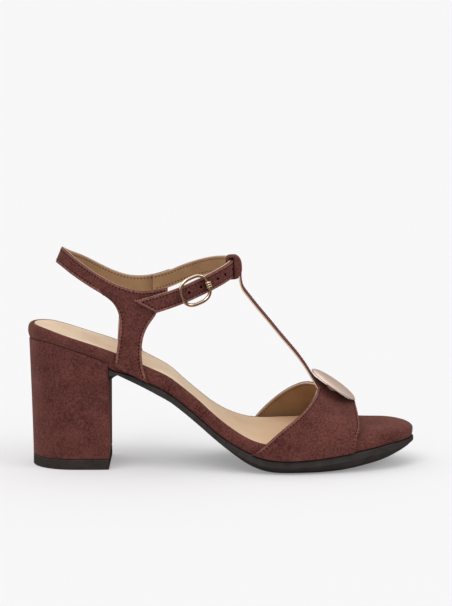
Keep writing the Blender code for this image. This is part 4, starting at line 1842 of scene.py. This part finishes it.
@dataclass
class AnkleStrap:
    """The strap from the inner quarter, through the loop, to the slanted tail."""

    finishes: Finishes
    sewn_under: float = 48.5
    tail_top: float = 277.0
    tail_low: float = 263.0
    suede: float = 1.4
    stitch_inset: float = 1.8
    pitch: float = 2.0
    steps: int = 190
    rows: int = 24
    holes: tuple[float, ...] = (191.5, 206.2, 215.9, 232.0, 241.3)
    hole_radius: float = 0.85
    hole_down: float = 0.5
    hole_depth: float = 1.1

    def build(self) -> None:
        """Make the strap's suede, lining and stitches, and punch its holes."""
        sheet = Sheet(self.face(), self.heart, self.sewn, Seam(pitch=self.pitch))
        self.punch(sheet.make("ankle_strap", self.finishes, self.suede, ANKLE.strap_wall))

    def heart(self, point: Vector) -> Vector:
        """A place inside the ankle beside a point of the strap."""
        return Vector((ANKLE.centre, 0.0, point.z))

    def sewn(self, point: Vector) -> float:
        """How far in the stitches run, but not on the end sewn under the inner quarter."""
        return 0.0 if point.y > 0 and point.x < self.sewn_under else self.stitch_inset

    def face(self) -> bmesh.types.BMesh:
        """The strap's outer face.

        Returns:
            The face, as an open sheet.
        """
        first = STRAP[0].turn
        rings = []
        for row in range(self.rows + 1):
            down = row / self.rows
            last = self.tail_top + (self.tail_low - self.tail_top) * down
            turns = [first + (last - first) * i / self.steps for i in range(self.steps + 1)]
            rings.append([ANKLE.strap(turn, down)[0] for turn in turns])
        shape = bmesh.new()
        lay(shape, rings)
        return shape

    def punch(self, strap: bpy.types.Object) -> None:
        """Punch the strap's holes through a layer.

        Args:
            strap: The layer, with its wall as a live modifier.
        """
        cutter = bmesh.new()
        for turn in self.holes:
            place, outward = ANKLE.strap(turn, self.hole_down)
            out = Vector((outward.x, outward.y, 0.0))
            turned = Vector((0, 0, 1)).rotation_difference(out).to_matrix().to_4x4()
            matrix = Matrix.Translation(place) @ turned
            bmesh.ops.create_cone(
                cutter,
                cap_ends=True,
                segments=16,
                radius1=self.hole_radius,
                radius2=self.hole_radius,
                depth=self.hole_depth * 2,
                matrix=matrix,
            )
        bmesh.ops.scale(cutter, vec=(MM, MM, MM), verts=cutter.verts)
        mesh = bpy.data.meshes.new("punch")
        cutter.to_mesh(mesh)
        cutter.free()
        # The hole walls and floors take this near-black finish, as painted shade inside the holes.
        mesh.materials.append(self.finishes.thread_and_hole_shade)
        tool = bpy.data.objects.new("punch", mesh)
        bpy.context.scene.collection.objects.link(tool)
        cut = strap.modifiers.new("Holes", "BOOLEAN")
        cut.operation = "DIFFERENCE"
        cut.object = tool
        cut.material_mode = "TRANSFER"
        cut_strap = strap.evaluated_get(bpy.context.evaluated_depsgraph_get())
        punched = bpy.data.meshes.new_from_object(cut_strap)
        strap.modifiers.clear()
        strap.data = punched
        bpy.data.objects.remove(tool, do_unlink=True)


@dataclass
class Buckle:
    """The polished frame and the prong's wrapped eye."""

    finishes: Finishes
    turn: float = 237.5
    sight: float = 8.0
    lift: float = 2.0
    half_length: float = 10.0
    half_height: float = 9.0
    squareness: float = 2.7
    bar: float = 2.1
    rings: int = 3
    ring_pitch: float = 1.3
    wire: float = 0.8
    eye_gap: float = 0.3
    ring_share: float = 0.42
    tangent_turn: float = 0.01

    def build(self) -> None:
        """Make the frame and the eye."""
        self.make_frame()
        self.make_eye()

    def axes(self) -> tuple[Vector, Vector, Vector, Vector]:
        """Where the buckle lies.

        Returns:
            Its centre, and its directions along the strap, up across it and outwards.
        """
        centre, outward = ANKLE.strap(self.turn, 0.5)
        before, _ = ANKLE.strap(self.turn - self.sight, 0.5)
        after, _ = ANKLE.strap(self.turn + self.sight, 0.5)
        run = (before - after).normalized()
        out = Vector((outward.x, outward.y, 0.0))
        up = run.cross(out).normalized()
        if up.z < 0:
            up = -up
        out = up.cross(run).normalized()
        if out.dot(Vector((outward.x, outward.y, 0.0))) < 0:
            out = -out
        return centre + out * self.lift, run, up, out

    def outline(self, turn: float) -> Vector:
        """The middle of the bar in the frame's own plane.

        Args:
            turn: The turn of the point.

        Returns:
            The point, along the strap and up across it.
        """
        power = 2.0 / self.squareness
        cos, sin = math.cos(turn), math.sin(turn)
        along = (self.half_length - self.bar / 2) * bulge(cos, power)
        return Vector((along, (self.half_height - self.bar / 2) * bulge(sin, power)))

    def make_frame(self, steps: int = 96) -> None:
        """The frame, a round bar with a flat bevel on its inner edge.

        Args:
            steps: Steps round the frame.
        """
        centre, run, up, out = self.axes()
        half = self.bar / 2
        rings = []
        for i in range(steps):
            turn = 2 * math.pi * i / steps
            place = self.outline(turn)
            tangent = self.outline(turn + self.tangent_turn) - self.outline(turn - self.tangent_turn)
            outward = Vector((tangent.y, -tangent.x)).normalized()
            ring = []
            for across, height in BAR_TOP + BAR_UNDER:
                flat = place + outward * across * half
                ring.append(centre + run * flat.x + up * flat.y + out * height * half)
            rings.append(ring)
        shape = bmesh.new()
        lay(shape, rings + [rings[0]], closed=True)
        finish = self.finishes.gold
        Piece("buckle_bar", Slot.GOLD, finish, ("buckle_frame",), smooth_deg=60).make(closed(shape))

    def make_eye(self, steps: int = 32, section: int = 12) -> None:
        """The prong's eye, rings of wire side by side round the toe-side bar.

        Args:
            steps: Steps round a ring.
            section: Steps round its wire.
        """
        centre, run, up, out = self.axes()
        bar = centre + run * (self.half_length - self.bar / 2)
        radius = self.bar / 2 + self.eye_gap + self.wire / 2
        shape = bmesh.new()
        for index in range(self.rings):
            middle = bar + up * self.ring_pitch * (index - (self.rings - 1) / 2)
            rings = []
            for i in range(steps):
                turn = 2 * math.pi * i / steps
                ray = run * math.cos(turn) + out * math.sin(turn)
                ring = []
                for k in range(section):
                    angle = 2 * math.pi * k / section
                    reach = radius + math.cos(angle) * self.wire / 2
                    side = math.sin(angle) * self.ring_pitch * self.ring_share
                    ring.append(middle + ray * reach + up * side)
                rings.append(ring)
            lay(shape, rings + [rings[0]], closed=True)
        Piece("prong_eye", Slot.GOLD, self.finishes.gold, ("buckle_prong",)).make(closed(shape))


@dataclass
class Button:
    """The satin domed button on its short shank."""

    finishes: Finishes
    width: float = 31.4
    dome: float = 2.4
    rim: float = 0.9
    edge: float = 0.4
    lip: float = 0.12
    flare: float = 0.5
    dome_set_in: float = 0.6
    dome_steps: int = 16
    reach: float = SOLE_LENGTH * 0.7963 - HEEL_BACK - 1.3
    tilt: float = 34.6
    lift: float = 5.9
    shank: float = 6.4
    tries: int = 20

    def under(self, x: float) -> float:
        """Height of the button's underside plane."""
        middle = LAST.crown(self.reach) + self.lift
        return middle - math.tan(math.radians(self.tilt)) * (x - self.reach)

    def axis(self) -> Vector:
        """The button's axis, tilted down to the toe."""
        tilt = math.radians(self.tilt)
        return Vector((math.sin(tilt), 0.0, math.cos(tilt)))

    def drop(self, place: Vector) -> float:
        """How far the shank reaches down before it meets the vamp.

        Args:
            place: The middle of the button's underside.

        Returns:
            The shank's length.
        """
        axis = self.axis()
        across = Vector((axis.z, 0.0, -axis.x)) * self.shank / 2
        drop = self.lift
        for _ in range(self.tries):
            feet = [place + across * share - axis * drop for share in ACROSS]
            drop += min(foot.z - LAST.crown(foot.x) - LAST.gap / axis.z for foot in feet) * axis.z
        return drop

    def build(self) -> None:
        """Spin the button from its half section."""
        radius = self.width / 2
        place = Vector((self.reach, 0.0, LAST.crown(self.reach) + self.lift))
        drop = self.drop(place)
        neck, flare, lip = self.shank / 2, self.flare, self.lip
        outline = [(0.0, -drop), (neck - self.edge, -drop), (neck, -drop + self.edge)]
        outline += [(neck, -flare), (neck + flare, 0.0), (radius - 4 * self.edge, 0.0)]
        outline += [(radius - self.edge, 0.05), (radius - 0.08, self.edge), (radius, self.rim * 0.7)]
        outline += [(radius - 0.1, self.rim), (radius - 0.35, self.rim + lip)]
        for step in range(1, self.dome_steps + 1):
            angle = math.pi / 2 * step / self.dome_steps
            up = self.rim + lip + (self.dome - lip) * math.sin(angle)
            outline.append((max((radius - self.dome_set_in) * math.cos(angle), 0.0), up))
        shape = bmesh.new()
        verts = [shape.verts.new((across, 0.0, up)) for across, up in outline]
        edges = [shape.edges.new(pair) for pair in zip(verts, verts[1:])]
        bmesh.ops.spin(
            shape,
            geom=verts + edges,
            axis=(0, 0, 1),
            cent=(0, 0, 0),
            angle=2 * math.pi,
            steps=96,
            use_merge=True,
        )
        turned = Vector((0, 0, 1)).rotation_difference(self.axis()).to_matrix().to_4x4()
        bmesh.ops.transform(shape, matrix=turned, verts=shape.verts)
        bmesh.ops.translate(shape, vec=place, verts=shape.verts)
        finish = self.finishes.satin
        Piece("domed_button", Slot.SATIN, finish, ("button",), smooth_deg=50).make(closed(shape))


@dataclass(frozen=True)
class Lamp:
    """A wide soft light that falls evenly on the whole floor."""

    name: str
    place: tuple[float, float, float]
    strength: float
    spread_deg: float
    colour: Colour = (1.0, 1.0, 1.0)

    def light(self) -> None:
        """Hang the light."""
        data = bpy.data.lights.new(self.name, "SUN")
        data.energy = self.strength
        data.angle = math.radians(self.spread_deg)
        data.color = self.colour
        lamp = bpy.data.objects.new(self.name, data)
        lamp.location = self.place
        lamp.rotation_euler = (-Vector(self.place)).to_track_quat("-Z", "Y").to_euler()
        bpy.context.scene.collection.objects.link(lamp)


@dataclass(frozen=True)
class Studio:
    """Pale floor, soft light and the camera at the photograph's angle."""

    aim: tuple[float, float, float] = (0.092, 0.0, 0.096)
    distance: float = 1.600
    tilt_deg: float = 7.9
    lens: float = 214.6
    film: float = 36.0
    sight: float = 60.0
    floor_size: float = 50.0
    floor_colour: Colour = (0.555, 0.555, 0.565)
    # Painted fill light: the floor's glow, which lifts the shoe's shadow.
    floor_glow: Colour = (1.0, 0.985, 0.99)
    floor_strength: float = 0.25
    floor_roughness: float = 0.9
    floor_gloss: float = 0.1
    # Painted reflection: the dark floor that glossy rays see.
    painted_reflection_floor: Colour = (0.16, 0.13, 0.11)
    sky: Colour = (1.0, 1.0, 1.0)
    low_sky: Colour = (0.42, 0.42, 0.43)
    high_sky: Colour = (1.35, 1.34, 1.32)
    soft_top: tuple[float, float, float] = (0.0, 0.0, 1.0)
    soft_reach: tuple[float, float] = (-0.1, 1.0)
    shine_top: tuple[float, float, float] = (-0.45, 0.0, 0.88)
    shine_reach: tuple[float, float] = (0.25, 0.75)
    dim: Colour = (0.04, 0.03, 0.022)
    sky_strength: float = 0.90
    lamps: tuple[Lamp, ...] = (
        Lamp("key", (-0.5, -0.9, 1.5), 0.75, 35.0, (1.0, 0.98, 0.95)),
        Lamp("toe_side", (1.3, -0.55, 0.95), 0.55, 25.0),
    )

    def build(self) -> None:
        """Set the camera, the floor and the lights."""
        self.camera()
        self.floor()
        for lamp in self.lamps:
            lamp.light()
        self.air()
        bpy.context.scene.view_settings.view_transform = "Standard"

    def air(self) -> None:
        """Set a soft white sky, brightest overhead, with a darker room in what shines."""
        world = bpy.data.worlds.new("studio")
        world.use_nodes = True
        tree = Tree(world.node_tree)
        background = world.node_tree.nodes["Background"]
        background.inputs["Strength"].default_value = self.sky_strength
        path = tree.add("ShaderNodeLightPath")
        ray = tree.add("ShaderNodeTexCoord").outputs["Generated"]
        soft = self.dome(tree, ray, self.soft_top, self.soft_reach, self.low_sky)
        mirrored = self.dome(tree, ray, self.shine_top, self.shine_reach, self.dim)
        lit = tree.mix(path.outputs["Is Glossy Ray"], soft, mirrored)
        seen = tree.mix(path.outputs["Is Camera Ray"], lit, self.sky)
        tree.feed(background.inputs["Color"], seen)
        bpy.context.scene.world = world

    def dome(
        self,
        tree: Tree,
        ray: bpy.types.NodeSocket,
        top: tuple[float, float, float],
        reach: tuple[float, float],
        low: Colour,
    ) -> bpy.types.NodeSocket:
        """A sky that brightens towards one direction.

        Args:
            tree: The world's nodes.
            ray: The direction that is looked at.
            top: The bright direction.
            reach: Where the brightening starts and ends, as shares of that direction.
            low: The colour away from it.

        Returns:
            The colour.
        """
        facing = tree.add("ShaderNodeVectorMath")
        facing.operation = "DOT_PRODUCT"
        tree.feed(facing.inputs[0], ray)
        tree.feed(facing.inputs[1], top)
        return tree.mix(tree.ramp(facing.outputs["Value"], *reach), low, self.high_sky)

    def camera(self) -> None:
        """Make the camera and set it on the scene."""
        data = bpy.data.cameras.new("camera")
        data.lens = self.lens
        data.sensor_fit = "HORIZONTAL"
        data.sensor_width = self.film
        data.clip_end = self.sight
        camera = bpy.data.objects.new("camera", data)
        tilt = math.radians(self.tilt_deg)
        back = Vector((0.0, -math.cos(tilt), math.sin(tilt)))
        camera.location = Vector(self.aim) + back * self.distance
        camera.rotation_euler = (math.pi / 2 - tilt, 0.0, 0.0)
        bpy.context.scene.collection.objects.link(camera)
        bpy.context.scene.camera = camera

    def floor(self) -> None:
        """Lay the pale floor, which glows a little as painted fill light under the shoe, and looks darker in
        what shines on it as a painted reflection.
        """
        shape = bmesh.new()
        bmesh.ops.create_grid(shape, x_segments=1, y_segments=1, size=self.floor_size / 2)
        mesh = bpy.data.meshes.new("floor")
        shape.to_mesh(mesh)
        shape.free()
        floor = bpy.data.objects.new("floor", mesh)
        nodes = Nodes("floor")
        nodes.set(Base_Color=(*self.floor_colour, 1.0), Roughness=self.floor_roughness)
        nodes.set(Specular_IOR_Level=self.floor_gloss)
        # Painted fill light: the floor glows a little, which lifts the shoe's shadow.
        nodes.set(Emission_Color=(*self.floor_glow, 1.0), Emission_Strength=self.floor_strength)
        # Painted reflection: glossy rays see a dark floor, which darkens what the metal mirrors.
        painted_reflection_floor = nodes.add("ShaderNodeBsdfDiffuse", Color=(*self.painted_reflection_floor, 1.0))
        glossy = nodes.add("ShaderNodeLightPath").outputs["Is Glossy Ray"]
        both = nodes.add("ShaderNodeMixShader", Fac=glossy)
        nodes.tree.links.new(nodes.shader.outputs["BSDF"], both.inputs[1])
        nodes.tree.links.new(painted_reflection_floor.outputs["BSDF"], both.inputs[2])
        nodes.tree.links.new(both.outputs["Shader"], nodes.tree.nodes["Material Output"].inputs["Surface"])
        mesh.materials.append(nodes.material)
        bpy.context.scene.collection.objects.link(floor)


def main() -> None:
    """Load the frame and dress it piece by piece."""
    logging.basicConfig(level=logging.INFO, format="%(name)s: %(message)s")
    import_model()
    finishes = Finishes()
    for part in (Sole, Vamp, Quarters, AnkleStrap, Buckle, Button):
        part(finishes).build()
    Studio().build()


if __name__ == "__main__":
    main()
